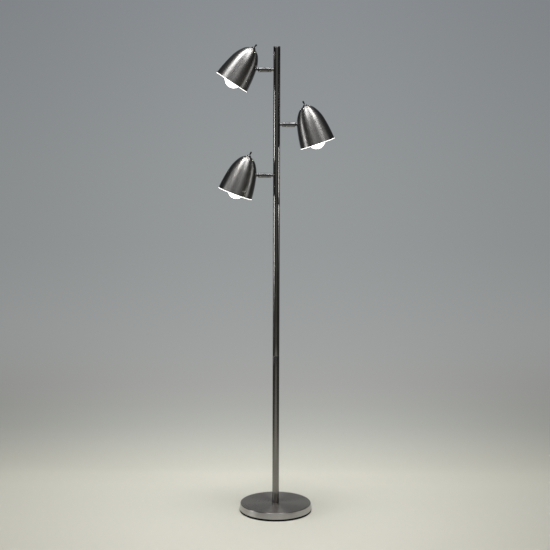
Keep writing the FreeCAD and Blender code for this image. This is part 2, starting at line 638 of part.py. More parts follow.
# ---------------------------------------------------------------- base and pole, in the lamp's frame
def cover_radius_at(height):
    """Outer radius of the base cover's sloping side at a height above the floor."""
    share = (height - PAD_THICKNESS) / COVER_HEIGHT
    return COVER_FOOT_RADIUS + (COVER_TOP_RADIUS - COVER_FOOT_RADIUS) * share


def base_cover():
    """Pressed steel cover: a flat top with a small round edge and a slightly sloping side."""
    outer = spun_polygon([(0, PAD_THICKNESS), (COVER_FOOT_RADIUS, PAD_THICKNESS), (COVER_TOP_RADIUS, BASE_TOP),
                          (0, BASE_TOP)])
    outer = outer.makeFillet(COVER_EDGE_RADIUS, [e for e in outer.Edges if e.Closed
                                                 and abs(e.CenterOfMass.z - BASE_TOP) < 0.1])
    side = COVER_WALL
    inner = spun_polygon([(0, PAD_THICKNESS), (COVER_FOOT_RADIUS - side, PAD_THICKNESS),
                          (COVER_TOP_RADIUS - side, BASE_TOP - side), (0, BASE_TOP - side)])
    shell = outer.cut(inner)
    shell = shell.cut(cylinder(BASE_NIPPLE_RADIUS + HOLE_FIT, BASE_TOP - 3 * side, BASE_TOP + side))
    hole = Part.makeCylinder(BUSHING_RADIUS + HOLE_FIT, 2 * BUSHING_LENGTH,
                             vec(0, COVER_FOOT_RADIUS - BUSHING_LENGTH, PAD_THICKNESS + BUSHING_HEIGHT), ALONG_Y)
    return shell.cut(hole)


WEIGHT_TOP = BASE_TOP - COVER_WALL
WEIGHT_FOOT = WEIGHT_TOP - WEIGHT_THICKNESS
RECESS_CEILING = WEIGHT_FOOT + WEIGHT_RECESS_DEPTH


def base_weight():
    """Cast iron disc with a recess for the nut below and a channel for the cable to the back."""
    inset = COVER_WALL + WEIGHT_SIDE_GAP
    disc = spun_polygon([(0, WEIGHT_FOOT), (cover_radius_at(WEIGHT_FOOT) - inset, WEIGHT_FOOT),
                         (cover_radius_at(WEIGHT_TOP) - inset, WEIGHT_TOP), (0, WEIGHT_TOP)])
    disc = disc.cut(cylinder(BASE_NIPPLE_RADIUS + HOLE_FIT, WEIGHT_FOOT - 1, WEIGHT_TOP + 1))
    disc = disc.cut(cylinder(WEIGHT_RECESS_RADIUS, WEIGHT_FOOT - 1, RECESS_CEILING))
    channel = Part.makeBox(CABLE_CHANNEL_WIDTH, COVER_FOOT_RADIUS, PAD_THICKNESS + BUSHING_HEIGHT
                           + CABLE_CHANNEL_WIDTH / 2 - WEIGHT_FOOT + 1,
                           vec(-CABLE_CHANNEL_WIDTH / 2, 0, WEIGHT_FOOT - 1))
    return disc.cut(channel.cut(cylinder(WEIGHT_RECESS_RADIUS - 1, WEIGHT_FOOT - 2, BASE_TOP)))


def base_pad():
    """Black foam pad that covers the whole underside and stands on the floor."""
    disc = cylinder(PAD_RADIUS, 0, PAD_THICKNESS)
    return disc.makeFillet(PAD_EDGE_RADIUS, [e for e in disc.Edges if e.Closed])


def base_board():
    """Fibreboard ring under the weight, which closes the cover and has the foam pad glued to it."""
    inset = COVER_WALL + BOARD_SIDE_GAP
    return cylinder(cover_radius_at(WEIGHT_FOOT) - inset, PAD_THICKNESS, WEIGHT_FOOT, WEIGHT_RECESS_RADIUS)


NUT_CEILING = RECESS_CEILING - BASE_WASHER_THICKNESS


def base_nipple():
    """Hollow threaded pipe that ties the base together and screws into the pole's foot plug."""
    return cylinder(BASE_NIPPLE_RADIUS, NUT_CEILING - BASE_NUT_HEIGHT - BASE_NIPPLE_TAIL,
                    BASE_TOP + BASE_NIPPLE_REACH, BASE_NIPPLE_BORE)


def base_nuts():
    """Washer and hexagon nut under the weight."""
    washer = cylinder(BASE_WASHER_RADIUS, NUT_CEILING, RECESS_CEILING, BASE_NIPPLE_RADIUS + HOLE_FIT)
    nut = hexagon(BASE_NUT_FLATS, NUT_CEILING - BASE_NUT_HEIGHT, NUT_CEILING, BASE_NIPPLE_RADIUS + THREAD_FIT)
    return [washer, nut]


def cord_bushing():
    """Moulded bushing in the back of the base, where a supply cord enters."""
    height = PAD_THICKNESS + BUSHING_HEIGHT
    face = cover_radius_at(height)
    flange = Part.makeCylinder(BUSHING_FLANGE_RADIUS, BUSHING_FLANGE + 1, vec(0, face - 1, height), ALONG_Y)
    sleeve = Part.makeCylinder(BUSHING_RADIUS, BUSHING_LENGTH, vec(0, face + BUSHING_FLANGE - BUSHING_LENGTH,
                                                                  height), ALONG_Y)
    side = spun_polygon([(0, PAD_THICKNESS), (COVER_FOOT_RADIUS, PAD_THICKNESS), (COVER_TOP_RADIUS, BASE_TOP),
                         (0, BASE_TOP)])
    rim = flange.cut(side)
    rim = rim.fuse(sleeve).removeSplitter()
    return rim.cut(Part.makeCylinder(BUSHING_BORE, 3 * BUSHING_LENGTH,
                                     vec(0, face - 2 * BUSHING_LENGTH, height), ALONG_Y))


def pole_section(index):
    """One plain tube of the pole. The top one has a hole for each arm's collar."""
    low = BASE_TOP + index * SECTION_LENGTH
    tube = cylinder(POLE_RADIUS, low, low + SECTION_LENGTH, POLE_BORE)
    for head in HEADS:
        if low < ARM_HEIGHTS[head] < low + SECTION_LENGTH:
            hole = rod(NECK_RADIUS + HOLE_FIT, 0, POLE_RADIUS + 1)
            tube = tube.cut(arm_placed(hole, head))
    return tube


def pole_couplers():
    """Foot plug on the base's nipple, and the sleeve inside each joint between two tubes."""
    radius = POLE_BORE - SLIDE_FIT
    pieces = [cylinder(radius, BASE_TOP, BASE_TOP + FOOT_PLUG_LENGTH, BASE_NIPPLE_RADIUS + THREAD_FIT)]
    for index in range(1, SECTION_COUNT):
        middle = BASE_TOP + index * SECTION_LENGTH
        pieces.append(cylinder(radius, middle - COUPLER_LENGTH / 2, middle + COUPLER_LENGTH / 2, COUPLER_BORE))
    return pieces


def pole_cap():
    """Turned cap with a round edge, plugged into the top of the pole."""
    disc = cylinder(POLE_RADIUS, POLE_TOP, POLE_TOP + CAP_HEIGHT)
    disc = disc.makeFillet(CAP_EDGE_RADIUS, [e for e in disc.Edges if e.Closed
                                             and abs(e.CenterOfMass.z - POLE_TOP - CAP_HEIGHT) < 0.1])
    return disc.fuse(cylinder(POLE_BORE - SLIDE_FIT, POLE_TOP - CAP_SPIGOT_LENGTH, POLE_TOP)).removeSplitter()


def pole_harness():
    """Cable up the middle of the pole, with a branch through each arm to the back of its ball seat."""
    trunk_foot = NUT_CEILING - BASE_NUT_HEIGHT
    harness = None
    for head in HEADS:
        height = ARM_HEIGHTS[head]
        branch = tube_path([vec(0, 0, height - BRANCH_DROP), vec(0, 0, height), vec(SEAT_START + 1, 0, height)],
                           BRANCH_RADIUS, BRANCH_BEND)
        if ARM_SIDES[head] < 0:
            branch.rotate(vec(0, 0, 0), UP, 180)
        harness = branch if harness is None else harness.fuse(branch)
    trunk = cylinder(HARNESS_RADIUS, trunk_foot, max(ARM_HEIGHTS.values()) - BRANCH_DROP + BRANCH_JOIN)
    return harness.fuse(trunk).removeSplitter()


# ---------------------------------------------------------------- placing and writing
def arm_placed(solid, head):
    """Moves a piece from an arm's frame to its place on the pole."""
    placed = solid.copy()
    if ARM_SIDES[head] < 0:
        placed.rotate(vec(0, 0, 0), UP, 180)
    placed.translate(vec(0, 0, ARM_HEIGHTS[head]))
    return placed


def head_placed(solid, head):
    """Moves a piece from a head's frame to its place on the arm's ball, tilted as the head stands."""
    placed = solid.copy()
    placed.translate(BALL_CENTRE * -1)
    placed.rotate(vec(0, 0, 0), ALONG_Y, HEAD_TILTS[head])
    if ARM_SIDES[head] > 0:
        placed.rotate(vec(0, 0, 0), UP, 180)
    placed.translate(vec(ARM_SIDES[head] * BALL_REACH, 0, ARM_HEIGHTS[head]))
    return placed


def write(node, shapes):
    """Writes one node's solids to parts/NODE.step."""
    shapes = shapes if isinstance(shapes, list) else [shapes]
    solids = [solid for shape in shapes for solid in shape.Solids]
    whole = solids[0] if len(solids) == 1 else Part.makeCompound(solids)
    whole.exportStep(os.path.join("parts", node + ".step"))
    state = "" if all(s.isValid() and s.Volume > 0 for s in solids) else "  NOT VALID"
    print(f"{node}: {len(solids)} solids, {sum(s.Volume for s in solids):.1f} mm3{state}")


def main():
    os.makedirs("parts", exist_ok=True)
    write("base_cover", base_cover())
    write("base_weight", base_weight())
    write("base_board", base_board())
    write("base_pad", base_pad())
    write("base_nipple", base_nipple())
    write("base_nuts", base_nuts())
    write("cord_bushing", cord_bushing())
    for index, name in enumerate(("pole_lower", "pole_middle", "pole_upper")):
        write(name, pole_section(index))
    write("pole_couplers", pole_couplers())
    write("pole_cap", pole_cap())
    write("pole_harness", pole_harness())
    write("arm_collars", [arm_placed(arm_collar(), head) for head in HEADS])
    write("arm_inserts", [arm_placed(arm_insert(), head) for head in HEADS])
    write("arm_springs", [arm_placed(arm_spring(), head) for head in HEADS])
    in_arm = {"arm": arm(), "ball_seat": ball_seat()}
    in_head = {
        "ball_stud": ball_stud(),
        "bracket": bracket(),
        "fasteners": stud_fasteners(),
        "lampholder": lampholder(),
        "socket_contacts": socket_contacts(),
        "bulb_globe": bulb_globe(),
        "bulb_base": bulb_base(),
        "switch_body": switch_body(),
        "switch_nut": switch_nut(),
        "switch_lever": switch_lever(),
        "leads": leads(),
    }
    for head in HEADS:
        write(f"{head}_shade", head_placed(shade(head), head))
        for name, solid in in_arm.items():
            write(f"{head}_{name}", arm_placed(solid, head))
        for name, solid in in_head.items():
            solids = solid if isinstance(solid, list) else [solid]
            write(f"{head}_{name}", [head_placed(s, head) for s in solids])


main()
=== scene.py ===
import math

import bmesh
import bpy
from mathutils import Matrix, Vector


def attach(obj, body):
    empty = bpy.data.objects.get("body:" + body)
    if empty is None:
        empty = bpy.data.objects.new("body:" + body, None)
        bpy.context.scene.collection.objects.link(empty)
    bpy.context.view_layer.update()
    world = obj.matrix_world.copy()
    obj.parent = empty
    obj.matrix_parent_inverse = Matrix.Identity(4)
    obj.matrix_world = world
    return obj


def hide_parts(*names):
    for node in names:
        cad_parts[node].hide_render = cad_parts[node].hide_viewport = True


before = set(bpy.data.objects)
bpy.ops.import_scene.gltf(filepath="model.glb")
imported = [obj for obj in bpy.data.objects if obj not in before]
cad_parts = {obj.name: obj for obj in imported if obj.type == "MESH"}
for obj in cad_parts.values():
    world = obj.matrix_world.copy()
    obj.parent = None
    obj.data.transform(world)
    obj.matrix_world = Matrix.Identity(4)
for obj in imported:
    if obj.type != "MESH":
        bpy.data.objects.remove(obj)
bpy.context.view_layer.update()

scene = bpy.context.scene
scene.view_settings.view_transform = "Standard"
mm = 0.001

# ---------------------------------------------------------------- camera
# A long lens 1.45 m above the floor and 4.4 m in front of the lamp, looking slightly down. The image is
# square, and the lens and sensor give a focal length of 1250 pixels in 550.
look_down, roll = math.radians(7.7), math.radians(-0.165)


def added(name, data):
    """A new object in the scene, made of this data."""
    thing = bpy.data.objects.new(name, data)
    scene.collection.objects.link(thing)
    return thing


lens = bpy.data.cameras.new("camera")
lens.sensor_fit = "HORIZONTAL"
lens.sensor_width = 36.0
lens.lens = 81.82
camera = added("camera", lens)
camera.location = (-0.0061, -4.374, 1.450)
camera.rotation_euler = (math.pi / 2 - look_down, roll, 0.0)
scene.camera = camera

# ---------------------------------------------------------------- studio
# One seamless sheet: a pale floor that curves up behind the lamp into a grey wall, which fades from
# warm white at its foot to cool grey. Three soft boxes hang overhead and one stands at each side.
sweep_start, sweep_radius, wall_top, half_width, sweep_steps = 0.45, 1.5, 4.2, 9.0, 32

# A point of the profile is (y, z, run), and run is the way along the sheet from where it starts to rise.
profile = [(y, 0.0, y - sweep_start) for y in (-half_width, -0.01, 0.0, sweep_start)]
for k in range(1, sweep_steps + 1):
    a = math.pi / 2 * k / sweep_steps
    profile.append((sweep_start + sweep_radius * math.sin(a), sweep_radius * (1 - math.cos(a)),
                    sweep_radius * a))
profile.append((sweep_start + sweep_radius, wall_top, sweep_radius * math.pi / 2 + wall_top - sweep_radius))
corners = [(side * half_width, y, z) for y, z, run in profile for side in (-1, 1)]
faces = [(2 * k, 2 * k + 1, 2 * k + 3, 2 * k + 2) for k in range(len(profile) - 1)]
sheet_mesh = bpy.data.meshes.new("studio_sheet")
sheet_mesh.from_pydata(corners, [], faces)
run_map = sheet_mesh.uv_layers.new(name="run")
for loop in sheet_mesh.loops:
    run_map.data[loop.index].uv = (corners[loop.vertex_index][0], profile[loop.vertex_index // 2][2])
sheet_mesh.polygons.foreach_set("use_smooth", [True] * len(faces))
studio_sheet = added("studio_sheet", sheet_mesh)


class Nodes:
    """Makes the nodes of one tree. An input that is given another node's socket is linked to it."""

    def __init__(self, tree):
        self.tree = tree

    def feed(self, node, inputs):
        for key, value in inputs.items():
            if isinstance(value, bpy.types.NodeSocket):
                self.tree.links.new(value, node.inputs[key])
            else:
                node.inputs[key].default_value = value
        return node

    def make(self, kind, inputs=None, **settings):
        node = self.tree.nodes.new(kind)
        for key, value in settings.items():
            setattr(node, key, value)
        return self.feed(node, inputs or {})

    def calc(self, operation, *values):
        return self.make("ShaderNodeMath", dict(enumerate(values)), operation=operation).outputs[0]

    def vector(self, x=0.0, y=0.0, z=0.0):
        return self.make("ShaderNodeCombineXYZ", {"X": x, "Y": y, "Z": z}).outputs[0]

    def split(self, vector):
        return self.make("ShaderNodeSeparateXYZ", {0: vector}).outputs

    def scaled(self, vector, scale):
        return self.make("ShaderNodeVectorMath", {0: vector, "Scale": scale}, operation="SCALE").outputs[0]

    def ranged(self, value, start, end, low, high, shape="SMOOTHSTEP"):
        limits = {"From Min": start, "From Max": end, "To Min": low, "To Max": high}
        node = self.make("ShaderNodeMapRange", {"Value": value, **limits}, interpolation_type=shape)
        return node.outputs["Result"]

    def ramp(self, value, stops):
        node = self.make("ShaderNodeValToRGB", {"Fac": value})
        while len(node.color_ramp.elements) < len(stops):
            node.color_ramp.elements.new(0.5)
        for element, (place, colour) in zip(node.color_ramp.elements, stops):
            element.position, element.color = place, (*colour, 1.0)
        return node.outputs["Color"]


def painted(name):
    """A new material, the maker of its nodes, and its shader."""
    material = bpy.data.materials.new(name)
    material.use_nodes = True
    return material, Nodes(material.node_tree), material.node_tree.nodes["Principled BSDF"]


sheet_paint, paper, shader = painted("studio_paper")
sheet_at = paper.split(paper.make("ShaderNodeUVMap", uv_map="run").outputs["UV"])
along, aside = sheet_at["Y"], paper.calc("ABSOLUTE", sheet_at["X"])
first_run, last_run = -0.9, 2.8
stops = [(-0.9, (0.723, 0.707, 0.616)), (-0.4, (0.757, 0.744, 0.655)), (-0.15, (0.780, 0.768, 0.672)),
         (0.0, (0.760, 0.748, 0.655)), (0.11, (0.685, 0.680, 0.600)), (0.31, (0.566, 0.571, 0.515)),
         (0.48, (0.462, 0.470, 0.435)), (0.63, (0.405, 0.412, 0.390)), (0.77, (0.378, 0.382, 0.368)),
         (1.03, (0.347, 0.358, 0.355)), (1.59, (0.304, 0.321, 0.322)), (2.01, (0.293, 0.312, 0.318)),
         (2.80, (0.256, 0.274, 0.290))]
fade = paper.ramp(paper.ranged(along, first_run, last_run, 0.0, 1.0, "LINEAR"),
                  [((run - first_run) / (last_run - first_run), colour) for run, colour in stops])
falloff = paper.ranged(aside, 0.1, 1.7, 1.0, paper.ranged(along, 0.35, 1.2, 0.58, 0.84))

# Metal mirrors the sides of the sheet and the floor in front as darker than they look, as in a dark room.
seen = paper.make("ShaderNodeLightPath").outputs
unlit_front = paper.ranged(along, -4.2, -0.2, 0.62, 0.10)
unlit_sides = paper.ranged(aside, 0.30, 1.30, 0.0, 0.85)
unlit = paper.calc("MULTIPLY", paper.calc("MAXIMUM", unlit_front, unlit_sides), seen["Is Glossy Ray"])
toned = paper.scaled(fade, paper.calc("MULTIPLY", falloff, paper.calc("SUBTRACT", 1.0, unlit)))
paper.feed(shader, {"Roughness": 0.9, "Specular IOR Level": 0.1, "Base Color": paper.scaled(toned, 1.28)})

# The wall shines by itself, the floor shines in part, and close to the lamp only its light and shadow count.
any_view = paper.calc("MAXIMUM", paper.calc("MAXIMUM", seen["Is Camera Ray"], seen["Is Glossy Ray"]),
                      seen["Is Transmission Ray"])
distance = paper.make("ShaderNodeVectorMath", {0: paper.make("ShaderNodeTexCoord").outputs["Object"]},
                      operation="LENGTH").outputs["Value"]
shine = paper.calc("MULTIPLY", paper.ranged(distance, 0.125, 0.50, 0.0, 1.0),
                   paper.ranged(along, -0.15, 0.75, 0.45, 1.0))
glow = paper.make("ShaderNodeEmission", {"Color": toned}).outputs[0]
mixed = paper.make("ShaderNodeMixShader", {
    0: paper.calc("MULTIPLY", any_view, shine), 1: shader.outputs[0], 2: glow})

# The sheet is clear from behind, so that it hides nothing from a view behind the lamp.
behind = paper.make("ShaderNodeNewGeometry").outputs["Backfacing"]
clear = paper.make("ShaderNodeBsdfTransparent").outputs[0]
one_way = paper.make("ShaderNodeMixShader", {0: behind, 1: mixed.outputs[0], 2: clear})
paper.feed(sheet_paint.node_tree.nodes["Material Output"], {"Surface": one_way.outputs[0]})
sheet_mesh.materials.append(sheet_paint)
sheet_paint.cycles.emission_sampling = "NONE"


def soft_box(name, place, aim, width, length, watts):
    """A rectangular soft box at a place, facing a point."""
    lamp = bpy.data.lights.new(name, "AREA")
    lamp.shape = "RECTANGLE"
    lamp.size, lamp.size_y = width, length
    lamp.energy = watts
    box = added(name, lamp)
    box.location = place
    box.rotation_euler = (Vector(aim) - Vector(place)).to_track_quat("-Z", "Y").to_euler()


soft_box("overhead_left", (-0.47, -0.30, 2.85), (-0.2, 0.0, 1.0), 0.56, 1.0, 20.0)
soft_box("overhead_right", (0.45, -0.30, 2.85), (0.2, 0.0, 1.0), 0.50, 1.0, 20.0)
soft_box("overhead_strip", (0.0, -0.30, 2.86), (0.0, 0.0, 1.0), 0.36, 1.0, 0.14)
soft_box("left_box", (-2.25, -0.35, 1.00), (0.0, 0.0, 1.0), 0.60, 0.95, 11.0)
soft_box("right_box", (2.2, -0.30, 1.08), (0.0, 0.0, 1.08), 0.52, 0.34, 4.0)

# The air that metal mirrors is darker to both sides. The camera sees it as an even grey.
world = bpy.data.worlds.new("studio_air")
world.use_nodes = True
air = Nodes(world.node_tree)
heading = air.split(air.make("ShaderNodeTexCoord").outputs["Generated"])
dark_sides = air.ranged(air.calc("ABSOLUTE", heading["X"]), 0.35, 0.80, 0.190, 0.012)
camera_sees = air.make("ShaderNodeLightPath").outputs["Is Camera Ray"]
shown = air.make("ShaderNodeMix", {0: camera_sees, 2: dark_sides, 3: 0.34}, data_type="FLOAT")
air.feed(world.node_tree.nodes["Background"], {
    "Color": (0.98, 1.0, 1.02, 1.0), "Strength": shown.outputs[0]})
scene.world = world

# ---------------------------------------------------------------- base
# The foot is a pressed steel cover over a cast iron disc, closed below by a fibreboard ring with a foam
# pad glued under it. The cover is brushed in circles; its top and rounded top edge are painted darker than
# its side as painted shade, and its lowest 7 mm are painted black as painted shade at the foot. A threaded
# pipe holds it together.
pad_height, cover_top, top_radius, foot_radius, cover_wall = 4 * mm, 29 * mm, 127 * mm, 130 * mm, 1.5 * mm


def new_tree(name, inputs, result):
    """A geometry nodes tree with named inputs: the tree, the maker of its nodes, and its inputs' sockets."""
    tree = bpy.data.node_groups.new(name, "GeometryNodeTree")
    for label, kind in inputs:
        tree.interface.new_socket(name=label, in_out="INPUT", socket_type="NodeSocket" + kind)
    tree.interface.new_socket(name=result, in_out="OUTPUT", socket_type="NodeSocketGeometry")
    nodes = Nodes(tree)
    return tree, nodes, nodes.make("NodeGroupInput").outputs


def end_tree(nodes, geometry, finish):
    """Ends a tree in real geometry that carries its material."""
    real = nodes.make("GeometryNodeRealizeInstances", {0: geometry})
    painted_piece = nodes.make("GeometryNodeSetMaterial", {
        "Geometry": real.outputs[0], "Material": finish})
    nodes.make("NodeGroupOutput", {0: painted_piece.outputs[0]})


def turning_tree():
    """Geometry nodes that turn an outline about Z. A point of it is (radius, run along it, height)."""
    tree, lathe, given = new_tree("turned_piece", (
        ("Outline", "Geometry"), ("Turns", "Int"), ("Join Distance", "Float"),
        ("Finish", "Material")), "Piece")
    size = lathe.make("GeometryNodeAttributeDomainSize", {"Geometry": given["Outline"]})
    across = lathe.calc("ADD", given["Turns"], 1)
    grid = lathe.make("GeometryNodeMeshGrid", {
        "Vertices X": size.outputs["Point Count"], "Vertices Y": across})
    index = lathe.make("GeometryNodeInputIndex").outputs[0]
    row = lathe.calc("FLOOR", lathe.calc("DIVIDE", lathe.calc("ADD", index, 0.5), across))
    column = lathe.calc("SUBTRACT", index, lathe.calc("MULTIPLY", row, across))
    share = lathe.calc("DIVIDE", column, given["Turns"])
    angle = lathe.calc("MULTIPLY", share, math.tau)
    position = lathe.make("GeometryNodeInputPosition").outputs[0]
    sample = lathe.make("GeometryNodeSampleIndex", {
        "Geometry": given["Outline"], "Value": position, "Index": row}, data_type="FLOAT_VECTOR")
    outline = lathe.split(sample.outputs["Value"])
    cosine, sine = lathe.calc("COSINE", angle), lathe.calc("SINE", angle)
    place = lathe.vector(lathe.calc("MULTIPLY", outline["X"], cosine),
                         lathe.calc("MULTIPLY", outline["X"], sine), outline["Z"])
    captured = lathe.make("GeometryNodeCaptureAttribute")
    for label in ("Place", "Round", "Flat"):
        captured.capture_items.new("VECTOR", label)
    lathe.feed(captured, {
        "Geometry": grid.outputs["Mesh"], 1: place, 2: lathe.vector(cosine, sine, outline["Y"]),
        3: lathe.vector(outline["Y"], share)})
    moved = lathe.make("GeometryNodeSetPosition", {
        "Geometry": captured.outputs["Geometry"], "Position": captured.outputs[1]})
    geometry = moved.outputs[0]
    for name, kind, domain, value in (("turned", "FLOAT_VECTOR", "POINT", captured.outputs[2]),
                                      ("spin", "FLOAT2", "CORNER", captured.outputs[3])):
        store = lathe.make("GeometryNodeStoreNamedAttribute", {
            "Geometry": geometry, "Name": name, "Value": value}, data_type=kind, domain=domain)
        geometry = store.outputs[0]
    join = lathe.make("GeometryNodeMergeByDistance", {
        "Geometry": geometry, "Distance": given["Join Distance"]})
    end_tree(lathe, join.outputs[0], given["Finish"])
    return tree


turned_tree = turning_tree()


def eased(corners, steps=4):
    """Outline points from (radius, height, ease) corners, with an arc of radius ease at each corner."""
    points = []
    for k, (radius, height, ease) in enumerate(corners):
        here = Vector((radius, height))
        if not ease:
            points.append(here)
            continue
        before = (Vector(corners[k - 1][:2]) - here).normalized()
        after = (Vector(corners[(k + 1) % len(corners)][:2]) - here).normalized()
        half = before.angle(after) / 2
        centre = here + (before + after).normalized() * (ease / math.sin(half))
        first = here + before * (ease / math.tan(half)) - centre
        last = here + after * (ease / math.tan(half)) - centre
        points += [centre + ease * first.slerp(last, step / steps) for step in range(steps + 1)]
    return points


def bake(piece, modifier):
    """Keeps what a modifier makes of a piece as the piece's plain mesh."""
    graph = bpy.context.evaluated_depsgraph_get()
    mesh = bpy.data.meshes.new_from_object(piece.evaluated_get(graph))
    piece.modifiers.remove(modifier)
    piece.data = mesh


def run_tree(piece, tree, values):
    """Runs one geometry nodes tree on a piece."""
    modifier = piece.modifiers.new("made", "NODES")
    modifier.node_group = tree
    for socket in tree.interface.items_tree:
        if socket.item_type == "SOCKET" and socket.in_out == "INPUT" and socket.name in values:
            modifier[socket.identifier] = values[socket.name]
    bake(piece, modifier)


def pour(soup, mesh):
    """Puts a loose working mesh into a mesh."""
    soup.to_mesh(mesh)
    soup.free()


def smooth(mesh, sharp):
    """Shades a mesh smooth but for its edges sharper than an angle in degrees."""
    mesh.polygons.foreach_set("use_smooth", [True] * len(mesh.polygons))
    mesh.set_sharp_from_angle(angle=math.radians(sharp))


def settle(piece, place=None, sharp=35.0):
    """Turns a piece's faces outwards, smooths it and puts its place in its mesh."""
    soup = bmesh.new()
    soup.from_mesh(piece.data)
    bmesh.ops.dissolve_degenerate(soup, dist=1e-7, edges=soup.edges)
    bmesh.ops.recalc_face_normals(soup, faces=soup.faces)
    pour(soup, piece.data)
    piece.data.transform(place or Matrix.Identity(4))
    smooth(piece.data, sharp)
    piece.data.update()
    return piece


def dress(mesh, finishes, which):
    """Gives a mesh its finishes, and each face the one that which(face) picks."""
    mesh.materials.clear()
    for finish in finishes:
        mesh.materials.append(finish)
    for face in mesh.polygons:
        face.material_index = which(face)


def turned(name, points, finish, place=None, closed=True, turns=96, sharp=35.0):
    """One lathe-turned piece from (radius, height) points, which run round it or from axis to axis."""
    points = [Vector(p) for p in points]
    if closed:
        points.append(points[0].copy())
    run, corners = 0.0, []
    for k, point in enumerate(points):
        run += (point - points[k - 1]).length if k else 0.0
        corners.append((point.x, run, point.y))
    mesh = bpy.data.meshes.new(name)
    mesh.from_pydata(corners, [(k, k + 1) for k in range(len(corners) - 1)], [])
    piece = added(name, mesh)
    run_tree(piece, turned_tree, {"Turns": turns, "Join Distance": 2e-6, "Finish": finish})
    return settle(piece, place, sharp)


def noise(nodes, place, scale, detail, **more):
    """The height of a cloud of noise at a place."""
    inputs = {"Vector": place, "Scale": scale, "Detail": detail, **more}
    return nodes.make("ShaderNodeTexNoise", inputs).outputs["Fac"]


def object_place(nodes):
    """The place on a piece in its own units."""
    return nodes.make("ShaderNodeTexCoord").outputs["Object"]


def turned_place(nodes):
    """The place on a turned piece: the turn's cosine and sine, and the run along its outline."""
    return nodes.make("ShaderNodeAttribute", attribute_name="turned").outputs["Vector"]


def drawn_out(nodes, stretches):
    """The place on a turned piece, drawn out by three factors."""
    inputs = {0: turned_place(nodes), 1: stretches}
    return nodes.make("ShaderNodeVectorMath", inputs, operation="MULTIPLY").outputs[0]


def round_grain(nodes):
    """The direction round a turned piece, along which its highlights are drawn out."""
    return nodes.make("ShaderNodeTangent", direction_type="UV_MAP", uv_map="spin").outputs[0]


def bumped(nodes, height, strength, depth):
    """A surface normal that follows a height."""
    inputs = {"Strength": strength, "Distance": depth, "Height": height}
    return nodes.make("ShaderNodeBump", inputs).outputs[0]


def two_tones(colour, start, darker, end, lighter):
    """The stops of a ramp from a darker to a lighter tone of a colour."""
    return [(place, tuple(min(1.0, part * share) for part in colour))
            for place, share in ((start, darker), (end, lighter))]


def turned_metal(name, colour, roughness, stretch, lines=900.0, wear=0.05, streaks=0.0):
    """Bare metal with fine turned lines round its axis, cloudy wear and a highlight drawn out along it."""
    material, metal, shader = painted(name)
    grain = noise(metal, drawn_out(metal, (1.2, 1.2, lines)), 1.0, 4.0)
    cloud = noise(metal, object_place(metal), 14.0, 5.0, Roughness=0.62)
    streak = noise(metal, drawn_out(metal, (9.0, 9.0, 3.0)), 1.0, 3.0)
    brushed = metal.calc("MULTIPLY_ADD", grain, 0.16, roughness - 0.08 - wear / 2)
    tone = metal.calc("MULTIPLY_ADD", cloud, 0.5, metal.calc("MULTIPLY", grain, 0.5))
    metal.feed(shader, {
        "Metallic": 1.0, "Anisotropic": stretch, "Tangent": round_grain(metal),
        "Roughness": metal.calc("MULTIPLY_ADD", cloud, wear, brushed),
        "Base Color": metal.ramp(tone, two_tones(colour, 0.32, 0.84, 0.68, 1.14)),
        "Normal": bumped(metal, metal.calc("MULTIPLY_ADD", streak, streaks, grain), 0.02, 0.00025)})
    return material


def moulded(name, colour, roughness, grain_scale, bump_depth, variation=0.15, **constants):
    """A moulded or cast surface: fine grain in its height, and cloudy variation in colour and gloss."""
    material, skin, shader = painted(name)
    grain = noise(skin, object_place(skin), grain_scale, 6.0)
    cloud = noise(skin, object_place(skin), grain_scale / 12, 3.0)
    skin.feed(shader, {key.replace("_", " "): value for key, value in constants.items()})
    skin.feed(shader, {
        "Base Color": skin.ramp(cloud, two_tones(colour, 0.35, 1 - variation, 0.65, 1 + variation)),
        "Roughness": skin.ranged(grain, 0.0, 1.0, roughness - 0.08, roughness + 0.08, "LINEAR"),
        "Normal": bumped(skin, grain, 0.5, bump_depth)})
    return material


base_steel = turned_metal("base_steel", (0.610, 0.598, 0.588), 0.34, 0.55, lines=700.0, wear=0.10)
# The top's steel is toned darker than the side's: painted shade on the top of the same pressed steel.
base_top_shaded_steel = turned_metal("base_top_shaded_steel", (0.335, 0.306, 0.285), 0.30, 0.88, lines=700.0, wear=0.10)
# The lowest 7 mm of the cover's side are painted black: painted shade at the foot of the base.
foot_shade = moulded("painted_foot_shade", (0.006, 0.006, 0.006), 0.70, 700.0, 0.0001, variation=0.2,
                 Specular_IOR_Level=0.15)
nipple_hole, foot_shade_top, top_facing = 6.7 * mm, 7 * mm, 0.12
bushing_height, bushing_hole, drill_length = 16 * mm, 5.7 * mm, 30 * mm
flare = (top_radius - foot_radius) / (cover_top - pad_height)
foot_shade_radius = foot_radius + flare * (foot_shade_top - pad_height)
cover_outline = eased([
    (nipple_hole, cover_top - cover_wall, 0), (nipple_hole, cover_top, 0.2 * mm),
    (top_radius, cover_top, 2 * mm), (foot_shade_radius, foot_shade_top, 0), (foot_radius, pad_height, 0.3 * mm),
    (foot_radius - cover_wall, pad_height, 0.3 * mm),
    (top_radius - cover_wall, cover_top - cover_wall, 1 * mm)], steps=8)
base_cover = turned("base_cover_pressed", cover_outline, base_steel, turns=256)
drill_place = Matrix.Translation((0, foot_radius, bushing_height)) @ Matrix.Rotation(math.pi / 2, 4, "X")
drill_shape = bmesh.new()
bmesh.ops.create_cone(drill_shape, cap_ends=True, segments=40, radius1=bushing_hole, radius2=bushing_hole,
                      depth=drill_length, matrix=drill_place)
drill_mesh = bpy.data.meshes.new("bushing_drill")
pour(drill_shape, drill_mesh)
drill = added("bushing_drill", drill_mesh)
hole = base_cover.modifiers.new("hole", "BOOLEAN")
hole.operation, hole.solver, hole.object = "DIFFERENCE", "EXACT", drill
bake(base_cover, hole)
